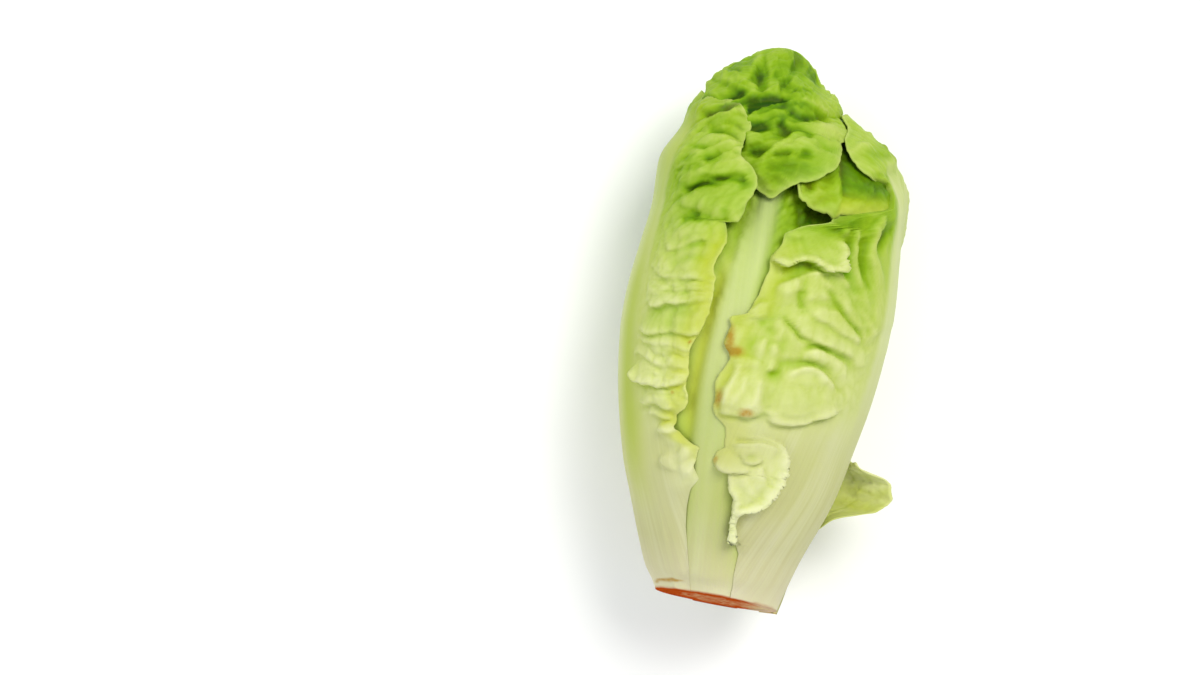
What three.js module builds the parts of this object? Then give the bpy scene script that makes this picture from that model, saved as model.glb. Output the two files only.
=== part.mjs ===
// A romaine heart: the tight inside of a cos lettuce, trimmed of its loose leaves and cut off at the stem.
// It lies on its back. Millimetres. +Y runs from the cut stem to the leaf tips, +X to the right as seen from
// above with the tips away from the viewer, and +Z is up. The origin is under the middle, on the surface.
//
// Every leaf is a thin shell round one axis. A point of it has three heart coordinates:
//   turn    degrees round the axis, 0 on top and 90 on the right
//   along   mm from the cut, first up the side and then over the crown to the pole
//   height  mm out from the axis
// The leaves are laid one after the other from the inside out, each on the height map of what is under it.
import * as THREE from "three";

// ---- driving dimensions ----
const heartLength = 180; // cut face to crown
const stemRadius = 14.5; // of the stub, at the cut
const stemLength = 30;
const capCentre = 128; // distance from the cut at which the sides start to turn in over the crown
const capArc = 62; // from there on to the pole
const pole = capCentre + capArc;
const poleHeight = heartLength - capCentre;
// [along, height] of the outermost leaves on the left and on the right, as seen from above
const leftProfile = [[0, 22], [15, 28], [34, 34.2], [45, 37.6], [65, 41.5], [85, 43.2], [98, 42.5], [112, 40.4],
  [128, 38.4], [143, 39.3], [154, 40.4], [162, 42.2], [170, 45.2], [178, 48.4], [pole, poleHeight]];
const rightProfile = [[0, 20], [18, 26], [38, 34.3], [55, 38.8], [71, 42.6], [88, 45.2], [104, 46.2], [120, 45.4],
  [131, 43.4], [141, 40], [150, 37.4], [158, 37], [166, 38.8], [174, 42.4], [181, 46], [pole, 49]];
const flattening = 0.93; // how much of its height a heart keeps when it lies down
const backHeight = 41.5; // axis to the pressed back, before the flattening
const axisHeight = 38.3; // of the axis above the surface that the heart lies on
const cutSlope = [-0.07, 0.13]; // rise of the knife's cut to the right and to the top: it shows from above
const clearGap = 0.45; // air between two leaves
const bladeThickness = 1.2;
const goldenTurn = 137.5; // degrees from one inner leaf to the next

// ---- small helpers ----
const radians = (degrees) => (degrees * Math.PI) / 180;
const mix = (a, b, share) => a + (b - a) * share;
const clamp = (x, low, high) => Math.min(high, Math.max(low, x));
const turnBetween = (from, to) => ((((to - from + 180) % 360) + 360) % 360) - 180;
const smoothStep = (low, high, x) => {
  const t = clamp((x - low) / (high - low), 0, 1);
  return t * t * (3 - 2 * t);
};

// The same draws each time: a linear congruential generator.
function seededRandom(seed) {
  let state = seed * 7919 + 17;
  return () => {
    state = (state * 16807) % 2147483647;
    return state / 2147483647;
  };
}

// A smooth curve through [x, y] points: cubic pieces with averaged slopes.
function curveThrough(points) {
  const slope = (i) => {
    const before = points[Math.max(i - 1, 0)];
    const after = points[Math.min(i + 1, points.length - 1)];
    return (after[1] - before[1]) / (after[0] - before[0]);
  };
  return (x) => {
    let i = 0;
    while (i < points.length - 2 && x > points[i + 1][0]) i += 1;
    const [[x0, y0], [x1, y1]] = [points[i], points[i + 1]];
    const span = x1 - x0;
    const t = clamp((x - x0) / span, 0, 1);
    const rise = (t ** 3 - 2 * t ** 2 + t) * span * slope(i) + (t ** 3 - t ** 2) * span * slope(i + 1);
    return y0 + (3 * t ** 2 - 2 * t ** 3) * (y1 - y0) + rise;
  };
}

// ---- the shape of the whole heart ----
const leftRadius = curveThrough(leftProfile);
const rightRadius = curveThrough(rightProfile);

const crownLean = (along) => (Math.max(along - capCentre, 0) / capArc) * (Math.PI / 2);

// Axis to the outside. The back is pressed flat where the heart lies on it.
function heartRadius(turn, along) {
  const round = mix(leftRadius(along), rightRadius(along), (1 + Math.sin(radians(turn))) / 2);
  const towardsBack = -Math.cos(radians(turn)) * Math.cos(crownLean(along));
  return towardsBack > 0.3 ? Math.min(round, backHeight / towardsBack) : round;
}
const ringRadius = (along) => Math.max(rightRadius(along) * Math.cos(crownLean(along)), 1);

// Heart coordinates to a place. Over the crown the rays fan out from one point of the axis.
function place(turn, along, height) {
  const out = height * Math.cos(crownLean(along));
  const up = Math.min(along, capCentre) + height * Math.sin(crownLean(along));
  return new THREE.Vector3(out * Math.sin(radians(turn)), up, out * Math.cos(radians(turn)) * flattening);
}

const cutHeight = ({ x, z }) => cutSlope[0] * x + cutSlope[1] * z;

// Round folds about 16 mm apart that run on over the whole heart, from 0 to 1.
function foldAt(turn, along) {
  const { x, y, z } = place(turn, along, 42);
  const crossed = Math.sin(0.36 * x + 0.2 * y + 1) * Math.sin(0.42 * y - 0.12 * x + 0.3 * z);
  return clamp(0.5 + 0.5 * crossed + 0.35 * Math.sin(0.25 * y - 0.3 * z + 2), 0, 1);
}

// ---- the height map of what is already laid ----
// Its heights, and those of a leaf while it is laid, are counted from the outside of the heart.
const mapColumns = 120;
const mapRows = 96;
const columnTurn = 360 / mapColumns;
const rowLength = pole / (mapRows - 1);
const heap = new Float64Array(mapColumns * mapRows).fill(-100);
const heapIndex = (column, row) => (((column % mapColumns) + mapColumns) % mapColumns) + row * mapColumns;

function raiseHeap(turn, along, height) {
  const column = Math.floor(turn / columnTurn);
  const row = clamp(Math.floor(along / rowLength), 0, mapRows - 2);
  for (const c of [column, column + 1]) {
    for (const r of [row, row + 1]) {
      const at = heapIndex(c, r);
      heap[at] = Math.max(heap[at], height);
    }
  }
}

// The highest point of the heap within reach mm: the whole ring of it near the pole.
function heapAround(turn, along, reach) {
  const nearPole = along + reach > pole - 4;
  const spread = nearPole ? 180 : Math.min((reach / ringRadius(along)) * (180 / Math.PI), 180);
  const first = Math.floor((turn - spread) / columnTurn);
  const last = Math.ceil((turn + spread) / columnTurn);
  const low = clamp(Math.floor((along - reach) / rowLength), 0, mapRows - 1);
  const high = clamp(Math.ceil((along + reach) / rowLength), 0, mapRows - 1);
  let most = -100;
  for (let r = low; r <= high; r += 1) {
    for (let c = first; c <= last; c += 1) most = Math.max(most, heap[heapIndex(c, r)]);
  }
  return most;
}

// The height at a share of the way across and up a cell, split into triangles along either diagonal.
function cellHeight([a, b, d, e], x, y) {
  const falling = x + y < 1 ? a + x * (b - a) + y * (d - a) : e + (1 - x) * (d - e) + (1 - y) * (b - e);
  const rising = x > y ? a + x * (b - a) + y * (e - b) : a + y * (d - a) + x * (e - d);
  return Math.max(falling, rising);
}

// Marks each cell of a laid leaf on the height map, finely enough that no square of the map is missed.
function markHeap(grid, closed) {
  const steps = 8;
  const columns = grid[0].length;
  for (let r = 0; r < grid.length - 1; r += 1) {
    for (let c = 0; c < (closed ? columns : columns - 1); c += 1) {
      const next = (c + 1) % columns;
      const corners = [grid[r][c], grid[r][next], grid[r + 1][c], grid[r + 1][next]];
      const turns = corners.map((p) => corners[0].turn + turnBetween(corners[0].turn, p.turn));
      const alongs = corners.map((p) => p.along);
      const heights = corners.map((p) => p.outer);
      for (let i = 0; i <= steps; i += 1) {
        for (let j = 0; j <= steps; j += 1) {
          const [x, y] = [i / steps, j / steps];
          const turn = mix(mix(turns[0], turns[1], x), mix(turns[2], turns[3], x), y);
          const along = mix(mix(alongs[0], alongs[1], x), mix(alongs[2], alongs[3], x), y);
          raiseHeap(turn, along, cellHeight(heights, x, y) - heartRadius(turn, along));
        }
      }
    }
  }
}

// ---- laying a leaf ----
// A leaf is a grid of points, rows from its foot or free edge to its tip. Each point has its turn, along and
// thickness, the height that it wishes for and the wave that it stands up by. The leaf is laid as a sheet: nowhere
// lower than the heap, and stretched over the hollows in it. A closed leaf goes all round and ends at the pole.
function layLeaf(grid, closed, reach) {
  const rows = grid.length;
  const columns = grid[0].length;
  const at = (table, r, c) => {
    const column = closed ? (c + columns) % columns : clamp(c, 0, columns - 1);
    return table[clamp(r, 0, rows - 1)][column];
  };
  const aroundOf = (r, c) => [[r - 1, c], [r + 1, c], [r, c - 1], [r, c + 1]];
  // A flat facet cuts the corner of the round below it by this much.
  const sagTo = (p, q) => {
    const between = turnBetween(p.turn, q.turn);
    const round = heartRadius(p.turn + between / 2, (p.along + q.along) / 2);
    const chord = (heartRadius(p.turn, p.along) + heartRadius(q.turn, q.along)) / 2;
    const turned = (chord + p.wish) * (1 - Math.cos(radians(Math.min(Math.abs(between), 40)) / 2));
    return Math.max(round - chord, 0) + Math.max(turned, 0);
  };
  const floor = grid.map((row, r) => row.map((p, c) => {
    const sag = Math.max(...aroundOf(r, c).map((cell) => sagTo(p, at(grid, ...cell))));
    return heapAround(p.turn, p.along, reach) + clearGap + sag;
  }));
  let height = grid.map((row, r) => row.map((p, c) => Math.max(p.wish, floor[r][c])));
  for (let pass = 0; pass < 5; pass += 1) {
    const last = height;
    height = last.map((row, r) => row.map((h, c) => {
      const around = aroundOf(r, c).reduce((sum, cell) => sum + at(last, ...cell), 0);
      return Math.max(h / 2 + around / 8, floor[r][c], grid[r][c].wish);
    }));
  }
  grid.forEach((row, r) => row.forEach((p, c) => {
    p.inner = heartRadius(p.turn, p.along) + height[r][c] + p.wave;
  }));
  if (closed) {
    const most = Math.max(...grid[rows - 1].map((p) => p.inner));
    grid[rows - 1].forEach((p) => { p.inner = most; });
  }
  grid.forEach((row, r) => row.forEach((p, c) => {
    const [before, after, left, right] = aroundOf(r, c).map((cell) => at(grid, ...cell));
    const across = Math.max(radians(Math.abs(turnBetween(left.turn, right.turn))) * ringRadius(p.along), 2);
    const slopeAlong = (after.inner - before.inner) / Math.max(after.along - before.along, 2);
    const slopeAcross = (right.inner - left.inner) / across;
    const stretch = Math.min(Math.hypot(1, slopeAlong, slopeAcross), 2); // full thickness on slopes too
    p.outer = p.inner + p.thickness * stretch;
  }));
  markHeap(grid, closed);
}

// A point of a leaf in space, above the surface that the heart lies on, its foot in the plane of the knife's cut.
function settledPlace(p, layer) {
  const point = place(p.turn, p.along, p[layer]);
  if (p.atCut) point.y = cutHeight(point);
  point.z = Math.max(point.z, layer === "inner" ? bladeThickness - axisHeight : -axisHeight);
  return point;
}

function facetedGeometry(positions, faces) {
  const geometry = new THREE.BufferGeometry();
  geometry.setAttribute("position", new THREE.Float32BufferAttribute(positions, 3));
  geometry.setIndex(faces);
  geometry.computeVertexNormals();
  return geometry;
}

// The closed solid between a leaf's outer and inner layer. Both are split into triangles alike.
function solidFromGrid(grid, closed) {
  const rows = closed ? grid.length - 1 : grid.length;
  const columns = grid[0].length;
  const positions = [];
  for (const layer of ["outer", "inner"]) {
    for (const p of grid.slice(0, rows).flat()) positions.push(...settledPlace(p, layer).toArray());
    if (closed) positions.push(...settledPlace(grid[rows][0], layer).toArray());
  }
  const below = rows * columns + (closed ? 1 : 0); // the inner layer's points follow the outer layer's
  const index = (r, c) => r * columns + (c % columns);
  const faces = [];
  const bothLayers = (i, j, k) => faces.push(i, j, k, below + i, below + k, below + j);
  const rim = (i, j) => faces.push(j, i, below + i, j, below + i, below + j);
  for (let c = 0; c < (closed ? columns : columns - 1); c += 1) {
    for (let r = 0; r < rows - 1; r += 1) {
      const [a, b, d, e] = [index(r, c), index(r, c + 1), index(r + 1, c), index(r + 1, c + 1)];
      if ((r + c) % 2) {
        bothLayers(a, b, e);
        bothLayers(a, e, d);
      } else {
        bothLayers(a, b, d);
        bothLayers(b, e, d);
      }
    }
    rim(index(0, c), index(0, c + 1));
    if (closed) bothLayers(index(rows - 1, c), index(rows - 1, c + 1), below - 1);
    else rim(index(rows - 1, c + 1), index(rows - 1, c));
  }
  if (!closed) {
    for (let r = 0; r < rows - 1; r += 1) {
      rim(index(r + 1, 0), index(r, 0));
      rim(index(r, columns - 1), index(r + 1, columns - 1));
    }
  }
  return facetedGeometry(positions, faces);
}

// ---- the two ways that a leaf is drawn ----
// The thickness d mm to the side of the midrib, which is broad and thick at the foot and thins out to the tip.
function leafThickness(leaf, d, share) {
  const halfWidth = mix(leaf.ribWidth / 2, 2, share ** 0.8);
  const rib = leaf.ribThickness * (1 - share) ** 0.8;
  return bladeThickness + rib * Math.exp(-((d / halfWidth) ** 2));
}

// How far a leaf lies under the outside of the heart: on the sides, the back, both shoulders and the crown.
function insetAt(leaf, turn, along) {
  if (leaf.share) return heartRadius(turn, along) * (1 - leaf.share);
  const [side, back, leftShoulder, rightShoulder, crown] = leaf.inset;
  const below = mix(side, back, smoothStep(0.4, 0.85, -Math.cos(radians(turn))));
  const shoulder = mix(leftShoulder, rightShoulder, (1 + Math.sin(radians(turn))) / 2);
  return mix(mix(below, shoulder, smoothStep(104, 138, along)), crown, smoothStep(150, 174, along));
}

// How far a stub of a leaf bends away from the heart: between two places along it, and most at its upper edge.
function bentAway({ flange }, turn, along) {
  if (!flange) return 0;
  const { height, from, to, edge, root } = flange;
  const reach = smoothStep(from - 3, from + 4, along) * (1 - smoothStep(to - 3, to + 3, along));
  return height * reach * clamp((root - turn) / (root - edge), 0, 1.1) ** 1.3;
}

// How far the large folds of a leaf bulge, each given as [turn, along, mm across, mm along, mm high].
function puffHeight({ puffs }, turn, along) {
  return puffs.reduce((most, [puffTurn, puffAlong, wide, long, high]) => {
    const across = (radians(turn - puffTurn) * ringRadius(along)) / (wide / 2);
    const away = Math.hypot(across, (along - puffAlong) / (long / 2));
    return Math.max(most, high * Math.sqrt(Math.max(1 - away ** 2, 0)));
  }, 0);
}

// A leaf with two edges. Its rows slant up from the midrib as its side veins do, and every second one stands up.
function bladeGrid(leaf) {
  const random = seededRandom(leaf.seed);
  const edges = [curveThrough(leaf.left), curveThrough(leaf.right)];
  const grid = [];
  for (let r = 0; r <= leaf.rows; r += 1) {
    const share = r / leaf.rows;
    const start = mix(leaf.foot, leaf.tip, share);
    const pastShoulder = clamp((share - leaf.roundFrom) / (1 - leaf.roundFrom), 0, 1);
    const rounding = Math.sqrt(1 - leaf.roundBy * pastShoulder ** 2);
    const slant = leaf.veinSlant * smoothStep(0, 0.25, share) * (1 - smoothStep(0.6, 1, share));
    const spans = edges.map((edge) => {
      let span = 0;
      for (let pass = 0; pass < 4; pass += 1) {
        span = (edge(start + slant * radians(Math.abs(span)) * ringRadius(start)) - leaf.midrib) * rounding;
      }
      return span;
    });
    grid.push(Array.from({ length: leaf.columns + 1 }, (_, c) => {
      const across = (2 * c) / leaf.columns - 1;
      const side = across < 0 ? 0 : 1;
      const aside = Math.abs(across);
      const notch = aside === 1 && r > 2 ? (random() - 0.5) * leaf.raggedness : 0;
      const span = spans[side] * (aside + notch);
      const turn = leaf.midrib + span;
      const d = Math.abs(radians(span)) * ringRadius(start);
      const along = start + slant * d;
      const ruffle = smoothStep(0.2, 1, aside) * smoothStep(0.08, 0.35, share) * (r % 2 ? 0.1 : 1);
      const thickness = leafThickness(leaf, d, share);
      return {
        turn,
        along,
        thickness,
        wish: bentAway(leaf, turn, along) - insetAt(leaf, turn, along) - thickness,
        wave: leaf.waves[side] * ruffle * (0.6 + 0.4 * random()) + puffHeight(leaf, turn, along),
        atCut: r === 0 && leaf.foot === 0,
      };
    }));
  }
  return grid;
}

// A leaf whose tip folds over the crown: rows run from its free edge, a ring of [turn, along] points, to the pole.
function hoodGrid(leaf) {
  const random = seededRandom(leaf.seed);
  let length = 0;
  const knots = leaf.edge.map(([turn, along], i) => {
    const [lastTurn, lastAlong] = leaf.edge[Math.max(i - 1, 0)];
    length += Math.hypot(radians(turn - lastTurn) * 42, (along - lastAlong) * 0.35);
    return { length, turn, along };
  });
  const turnAt = curveThrough(knots.map((knot) => [knot.length, knot.turn]));
  const alongAt = curveThrough(knots.map((knot) => [knot.length, knot.along]));
  const columns = Array.from({ length: leaf.columns }, (_, c) => {
    const where = (length * c) / leaf.columns;
    const edge = Math.max(alongAt(where), leaf.foot);
    const notch = edge > 20 ? (random() - 0.5) * leaf.raggedness : 0;
    return { turn: turnAt(where), edge: edge < leaf.foot + 1 ? leaf.foot : edge + notch };
  });
  const grid = [];
  for (let r = 0; r <= leaf.rows; r += 1) {
    const share = r / leaf.rows;
    grid.push(columns.map(({ turn, edge }) => {
      const along = mix(edge, pole, share);
      const d = Math.abs(radians(turnBetween(leaf.midrib, turn))) * ringRadius(along);
      const ruffle = smoothStep(12, 34, d + along * 0.1) * smoothStep(20, 70, along) * (1 - smoothStep(0.85, 1, share));
      const thickness = leafThickness(leaf, d, clamp(along / pole, 0, 1));
      return {
        turn,
        along,
        thickness,
        wish: -insetAt(leaf, turn, along) - thickness,
        wave: leaf.waves * ruffle * foldAt(turn, along),
        atCut: r === 0 && edge === 0,
      };
    }));
  }
  return grid;
}

// ---- the leaves, from the inside out ----
// share: of the heart's radius, or inset: mm under its outside. waves: mm of its folds. reach: mm, one grid cell.
const innerLeafCount = 7;
const innerLeaves = Array.from({ length: innerLeafCount }, (_, i) => {
  const outwards = (i + 1) / innerLeafCount; // 1 for the outermost of them
  const midrib = 40 + goldenTurn * (innerLeafCount - i);
  const spread = mix(95, 62, outwards);
  return {
    name: `inner_leaf_${innerLeafCount - i}`,
    drawn: bladeGrid,
    midrib,
    foot: mix(28, 16, outwards),
    tip: mix(135, 166, outwards),
    left: [[0, midrib - 24], [50, midrib - spread * 0.6], [110, midrib - spread], [pole, midrib - spread]],
    right: [[0, midrib + 24], [50, midrib + spread * 0.6], [110, midrib + spread], [pole, midrib + spread]],
    share: mix(0.12, 0.66, outwards),
    roundFrom: 0.8,
    roundBy: 0.85,
    waves: [0.8, 0.8],
    puffs: [],
    ribWidth: mix(7, 13, outwards),
    ribThickness: mix(0.8, 1.6, outwards),
    veinSlant: 0.15,
    raggedness: 0.12,
    columns: 8,
    rows: 15,
    reach: 9,
    seed: 30 + i,
  };
});

const outerLeaves = [
  {
    name: "middle_leaf",
    drawn: bladeGrid,
    midrib: -3,
    foot: 0,
    tip: 168,
    left: [[0, -42], [60, -50], [110, -58], [pole, -60]],
    right: [[0, 30], [60, 44], [110, 52], [pole, 56]],
    inset: [4, 4, 15, 12, 14],
    roundFrom: 0.8,
    roundBy: 0.85,
    waves: [1.4, 1.4],
    puffs: [],
    ribWidth: 17,
    ribThickness: 2.6,
    veinSlant: 0.3,
    raggedness: 0.08,
    columns: 12,
    rows: 26,
    reach: 7.5,
    seed: 2,
  },
  {
    name: "inner_hood_leaf",
    drawn: hoodGrid,
    midrib: 150,
    foot: 14,
    edge: [[-210, 14], [-195, 14], [-180, 18], [-165, 45], [-145, 85], [-120, 118], [-70, 134], [-15, 132], [10, 127],
      [30, 125], [46, 127], [62, 134], [82, 122], [100, 80], [115, 38], [126, 14], [150, 14]],
    inset: [8, 4.5, 13, 9, 6],
    waves: 1.5,
    ribWidth: 16,
    ribThickness: 1.4,
    raggedness: 3,
    columns: 40,
    rows: 14,
    reach: 9,
    seed: 3,
  },
  {
    name: "crown_leaf",
    drawn: hoodGrid,
    midrib: 180,
    foot: 0,
    edge: [[-180, 0], [-158, 0], [-142, 20], [-130, 60], [-112, 100], [-80, 128], [-40, 135], [-12, 132], [6, 133],
      [22, 135], [38, 142], [54, 149], [70, 154], [88, 146], [106, 118], [124, 82], [138, 46], [150, 14], [158, 0],
      [180, 0]],
    inset: [4, 0, 8.5, 5.5, 2.5],
    waves: 3.4,
    ribWidth: 30,
    ribThickness: 3,
    raggedness: 4,
    columns: 56,
    rows: 18,
    reach: 9,
    seed: 5,
  },
  {
    name: "right_leaf",
    drawn: bladeGrid,
    midrib: 80,
    foot: 0,
    tip: 162,
    left: [[0, 8], [20, 1], [34, 3], [44, -9], [54, -5], [64, -13], [88, -12], [104, 0], [120, 11], [130, 40],
      [142, 54], [pole, 58]],
    right: [[0, 116], [60, 128], [110, 135], [pole, 130]],
    inset: [0, 0, 0, 1.5, 4],
    roundFrom: 0.88,
    roundBy: 0.6,
    waves: [2.6, 2.4],
    puffs: [[13, 44, 20, 22, 2.6], [25, 70, 19, 20, 3.2], [-2, 69, 13, 16, 2.6], [-1, 87, 15, 15, 2.2],
      [22, 100, 24, 17, 2.4], [40, 92, 12, 20, 2], [19, 117, 24, 12, 3.2], [45, 115, 10, 26, 1.8]],
    ribWidth: 28,
    ribThickness: 3,
    veinSlant: 0.3,
    raggedness: 0.1,
    columns: 18,
    rows: 30,
    reach: 7,
    seed: 4,
  },
  {
    name: "left_leaf",
    drawn: bladeGrid,
    midrib: -76,
    foot: 0,
    tip: 166,
    left: [[0, -116], [60, -126], [110, -130], [pole, -125]],
    right: [[0, -30], [34, -24], [44, -23], [56, -32], [68, -26], [86, -23], [104, -18], [118, -20], [128, -10],
      [136, -8], [144, -17], [156, -22], [pole, -10]],
    inset: [0, 0, 2, 0, 0],
    roundFrom: 0.8,
    roundBy: 0.85,
    waves: [2.4, 3.6],
    puffs: [[-38, 71, 19, 10, 3], [-37, 90, 20, 10, 2.6], [-24, 129, 24, 12, 3.2], [-26, 141, 24, 12, 3],
      [-36, 163, 18, 10, 2.6]],
    ribWidth: 27,
    ribThickness: 3,
    veinSlant: 0.3,
    raggedness: 0.1,
    columns: 18,
    rows: 32,
    reach: 7,
    seed: 6,
  },
  {
    name: "side_leaf",
    drawn: bladeGrid,
    midrib: 118,
    foot: 0,
    tip: 52,
    left: [[0, 116], [24, 112], [33, 100], [52, 100], [pole, 102]],
    right: [[0, 136], [30, 140], [pole, 136]],
    inset: [-1, 0, 0, 0, 0],
    flange: { height: 16, from: 33, to: 47, edge: 100, root: 126 },
    roundFrom: 0.8,
    roundBy: 0.85,
    waves: [1.5, 1],
    puffs: [],
    ribWidth: 10,
    ribThickness: 1.5,
    veinSlant: 0,
    raggedness: 0.12,
    columns: 8,
    rows: 15,
    reach: 6,
    seed: 7,
  },
];

// ---- the stub of stem ----
// A blunt cone inside the leaves' feet, its flat end in the plane of the knife's cut.
function stemGeometry() {
  const sides = 24;
  const rings = [[0, 1], [6, 0.97], [12, 0.88], [18, 0.74], [24, 0.5]];
  const positions = [];
  const faces = [];
  for (const [along, share] of rings) {
    for (let c = 0; c < sides; c += 1) {
      const point = place((360 * c) / sides, along, stemRadius * share);
      positions.push(point.x, along === 0 ? cutHeight(point) : point.y, point.z);
      for (let i = 0; i <= 36; i += 1) {
        const [turn, higher] = [(360 * (c + (i % 6) / 6)) / sides, along + Math.floor(i / 6)];
        raiseHeap(turn, higher, stemRadius * share - heartRadius(turn, higher));
      }
    }
  }
  positions.push(0, 0, 0, 0, stemLength, 0);
  const [cutMiddle, tip] = [rings.length * sides, rings.length * sides + 1];
  const index = (r, c) => r * sides + (c % sides);
  for (let c = 0; c < sides; c += 1) {
    faces.push(cutMiddle, index(0, c + 1), index(0, c));
    for (let r = 0; r < rings.length - 1; r += 1) {
      faces.push(index(r, c), index(r, c + 1), index(r + 1, c));
      faces.push(index(r, c + 1), index(r + 1, c + 1), index(r + 1, c));
    }
    faces.push(index(rings.length - 1, c), index(rings.length - 1, c + 1), tip);
  }
  return facetedGeometry(positions, faces);
}

// ---- putting the heart together ----
const finishes = {
  leaf: { color: 0xa9c24f, roughness: 0.5, metalness: 0 },
  innerLeaf: { color: 0xdde38f, roughness: 0.5, metalness: 0 },
  stem: { color: 0xd9cfa8, roughness: 0.6, metalness: 0 },
};
const heart = new THREE.Group();
heart.name = "romaine_heart";

function addPiece(name, geometry, finish) {
  const mesh = new THREE.Mesh(geometry, new THREE.MeshStandardMaterial(finish));
  mesh.name = name;
  heart.add(mesh);
}

addPiece("cut_stem", stemGeometry(), finishes.stem);
for (const leaf of [...innerLeaves, ...outerLeaves]) {
  const closed = leaf.drawn === hoodGrid;
  const grid = leaf.drawn(leaf);
  layLeaf(grid, closed, leaf.reach);
  addPiece(leaf.name, solidFromGrid(grid, closed), innerLeaves.includes(leaf) ? finishes.innerLeaf : finishes.leaf);
}

const box = new THREE.Box3().setFromObject(heart);
heart.position.set(-(box.min.x + box.max.x) / 2, -(box.min.y + box.max.y) / 2, -box.min.z);

export default heart;
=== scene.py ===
import math

import bpy
import numpy as np
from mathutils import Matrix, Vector


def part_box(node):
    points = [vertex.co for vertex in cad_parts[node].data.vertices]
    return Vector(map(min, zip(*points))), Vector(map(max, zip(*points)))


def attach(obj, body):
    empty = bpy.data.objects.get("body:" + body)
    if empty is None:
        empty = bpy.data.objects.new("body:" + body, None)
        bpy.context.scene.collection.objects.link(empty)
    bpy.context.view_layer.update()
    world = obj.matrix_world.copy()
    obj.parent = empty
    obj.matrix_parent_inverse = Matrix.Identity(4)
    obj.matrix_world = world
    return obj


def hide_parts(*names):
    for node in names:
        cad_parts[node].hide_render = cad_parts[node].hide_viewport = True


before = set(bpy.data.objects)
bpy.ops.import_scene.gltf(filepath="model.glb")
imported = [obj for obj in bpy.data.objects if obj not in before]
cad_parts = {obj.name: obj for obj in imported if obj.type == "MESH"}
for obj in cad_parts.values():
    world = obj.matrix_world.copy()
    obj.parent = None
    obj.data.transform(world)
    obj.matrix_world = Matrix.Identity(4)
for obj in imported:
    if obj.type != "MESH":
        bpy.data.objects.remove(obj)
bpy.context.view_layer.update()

# A romaine heart that lies on its back. Lengths are millimetres until a mesh is made, angles are degrees.
# A point of a leaf is given as in the solids: its turn round the axis (0 on top, 90 on the right), how far
# along the heart it is from the cut, over the crown to the pole, and its height from the axis.
# What is drawn on the front is given as seen from above: mm to the right of the axis, mm from the cut.
print("the packed heart is loaded")

heart = {
    "capCentre": 128, "capArc": 62,  # the crown is a cap of that arc, round a centre so far from the cut
    "flattening": 0.93, "backHeight": 41.5, "flatFrom": 0.3,
    "cutSlope": (-0.07, 0.165), "cutRise": 1.4, "cutReach": 12,
    "stemLength": 30,
    "goldenTurn": 137.5,
    "left": [(0, 22), (15, 28), (34, 34.2), (45, 37.6), (65, 41.5), (85, 43.2), (98, 42.5), (112, 40.4),
        (128, 38.4), (143, 39.3), (154, 40.4), (162, 42.2), (170, 45.2), (178, 48.4), (190, 52)],
    "right": [(0, 20), (18, 26), (38, 34.3), (55, 38.8), (71, 42.6), (88, 45.2), (104, 46.2), (120, 45.4),
        (131, 43.4), (141, 40), (150, 37.4), (158, 37), (166, 38.8), (174, 42.4), (181, 46), (190, 49)],
}
pole = heart["capCentre"] + heart["capArc"]
stemLow, stemHigh = (np.array(corner) * 1000 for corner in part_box("cut_stem"))
axisPlace = (stemLow + stemHigh) / 2
axisPlace[1] = stemHigh[1] - heart["stemLength"]

studio = {  # the camera is given from the axis at the cut, in millimetres, the lights in metres
    "camera": (-47.8, 80.9, 910), "lens": 85, "sensor": 36, "roll": 6.8,
    "floor": (0.93, 0.93, 0.92), "floorSize": 6, "floorLevel": -0.0002, "floorRoughness": 0.6,
    "sky": (0.95, 0.98, 1.0), "skyStrength": 0.55,
    "lights": {  # place, size, power and tone
        "key": ((0.36, 0.5, 0.95), 0.55, 9.0, (1, 0.98, 0.94)),
        "fill": ((-0.8, 0.1, 0.7), 0.9, 4.2, (0.95, 0.98, 1)),
        "back": ((0.1, -0.9, 0.5), 0.7, 2.6, (1, 1, 1)),
    },
}


# Curves and noise.
def smoothStep(low, high, x):
    t = np.clip((x - low) / (high - low), 0, 1)
    return t * t * (3 - 2 * t)


def mix(a, b, share):
    return a + (b - a) * share


def hill(x, middle, width):  # 1 at the middle, and next to nothing two widths from it
    return np.exp(-(((x - middle) / width) ** 2))


def straightThrough(points, at):
    return np.interp(at, *np.array(points, float).T)


def curveThrough(points):
    x, y = np.array(points, float).T
    index = np.arange(len(x))
    before, after = np.maximum(index - 1, 0), np.minimum(index + 1, len(x) - 1)
    slope = (y[after] - y[before]) / (x[after] - x[before])

    def curve(at):
        i = np.clip(np.searchsorted(x, at, side="right") - 1, 0, len(x) - 2)
        span = x[i + 1] - x[i]
        t = np.clip((at - x[i]) / span, 0, 1)
        bend = (t**3 - 2 * t**2 + t) * span * slope[i] + (t**3 - t**2) * span * slope[i + 1]
        return y[i] + (3 * t**2 - 2 * t**3) * (y[i + 1] - y[i]) + bend

    return curve


lattice = {"seedPrime": 2654435761, "axisPrimes": (73856093, 19349663, 83492791), "stir": 1274126177}


def latticeDraw(cell, seed):  # the same number from 0 to 1 for the same cell
    n = seed * lattice["seedPrime"]
    for axis, prime in zip(range(cell.shape[-1]), lattice["axisPrimes"]):
        n = n ^ (cell[..., axis] * prime)
    n = n & 0xFFFFFFFF
    n = ((n ^ (n >> 13)) * lattice["stir"]) & 0xFFFFFFFF
    return ((n ^ (n >> 16)) & 0xFFFF) / 0xFFFF


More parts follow.
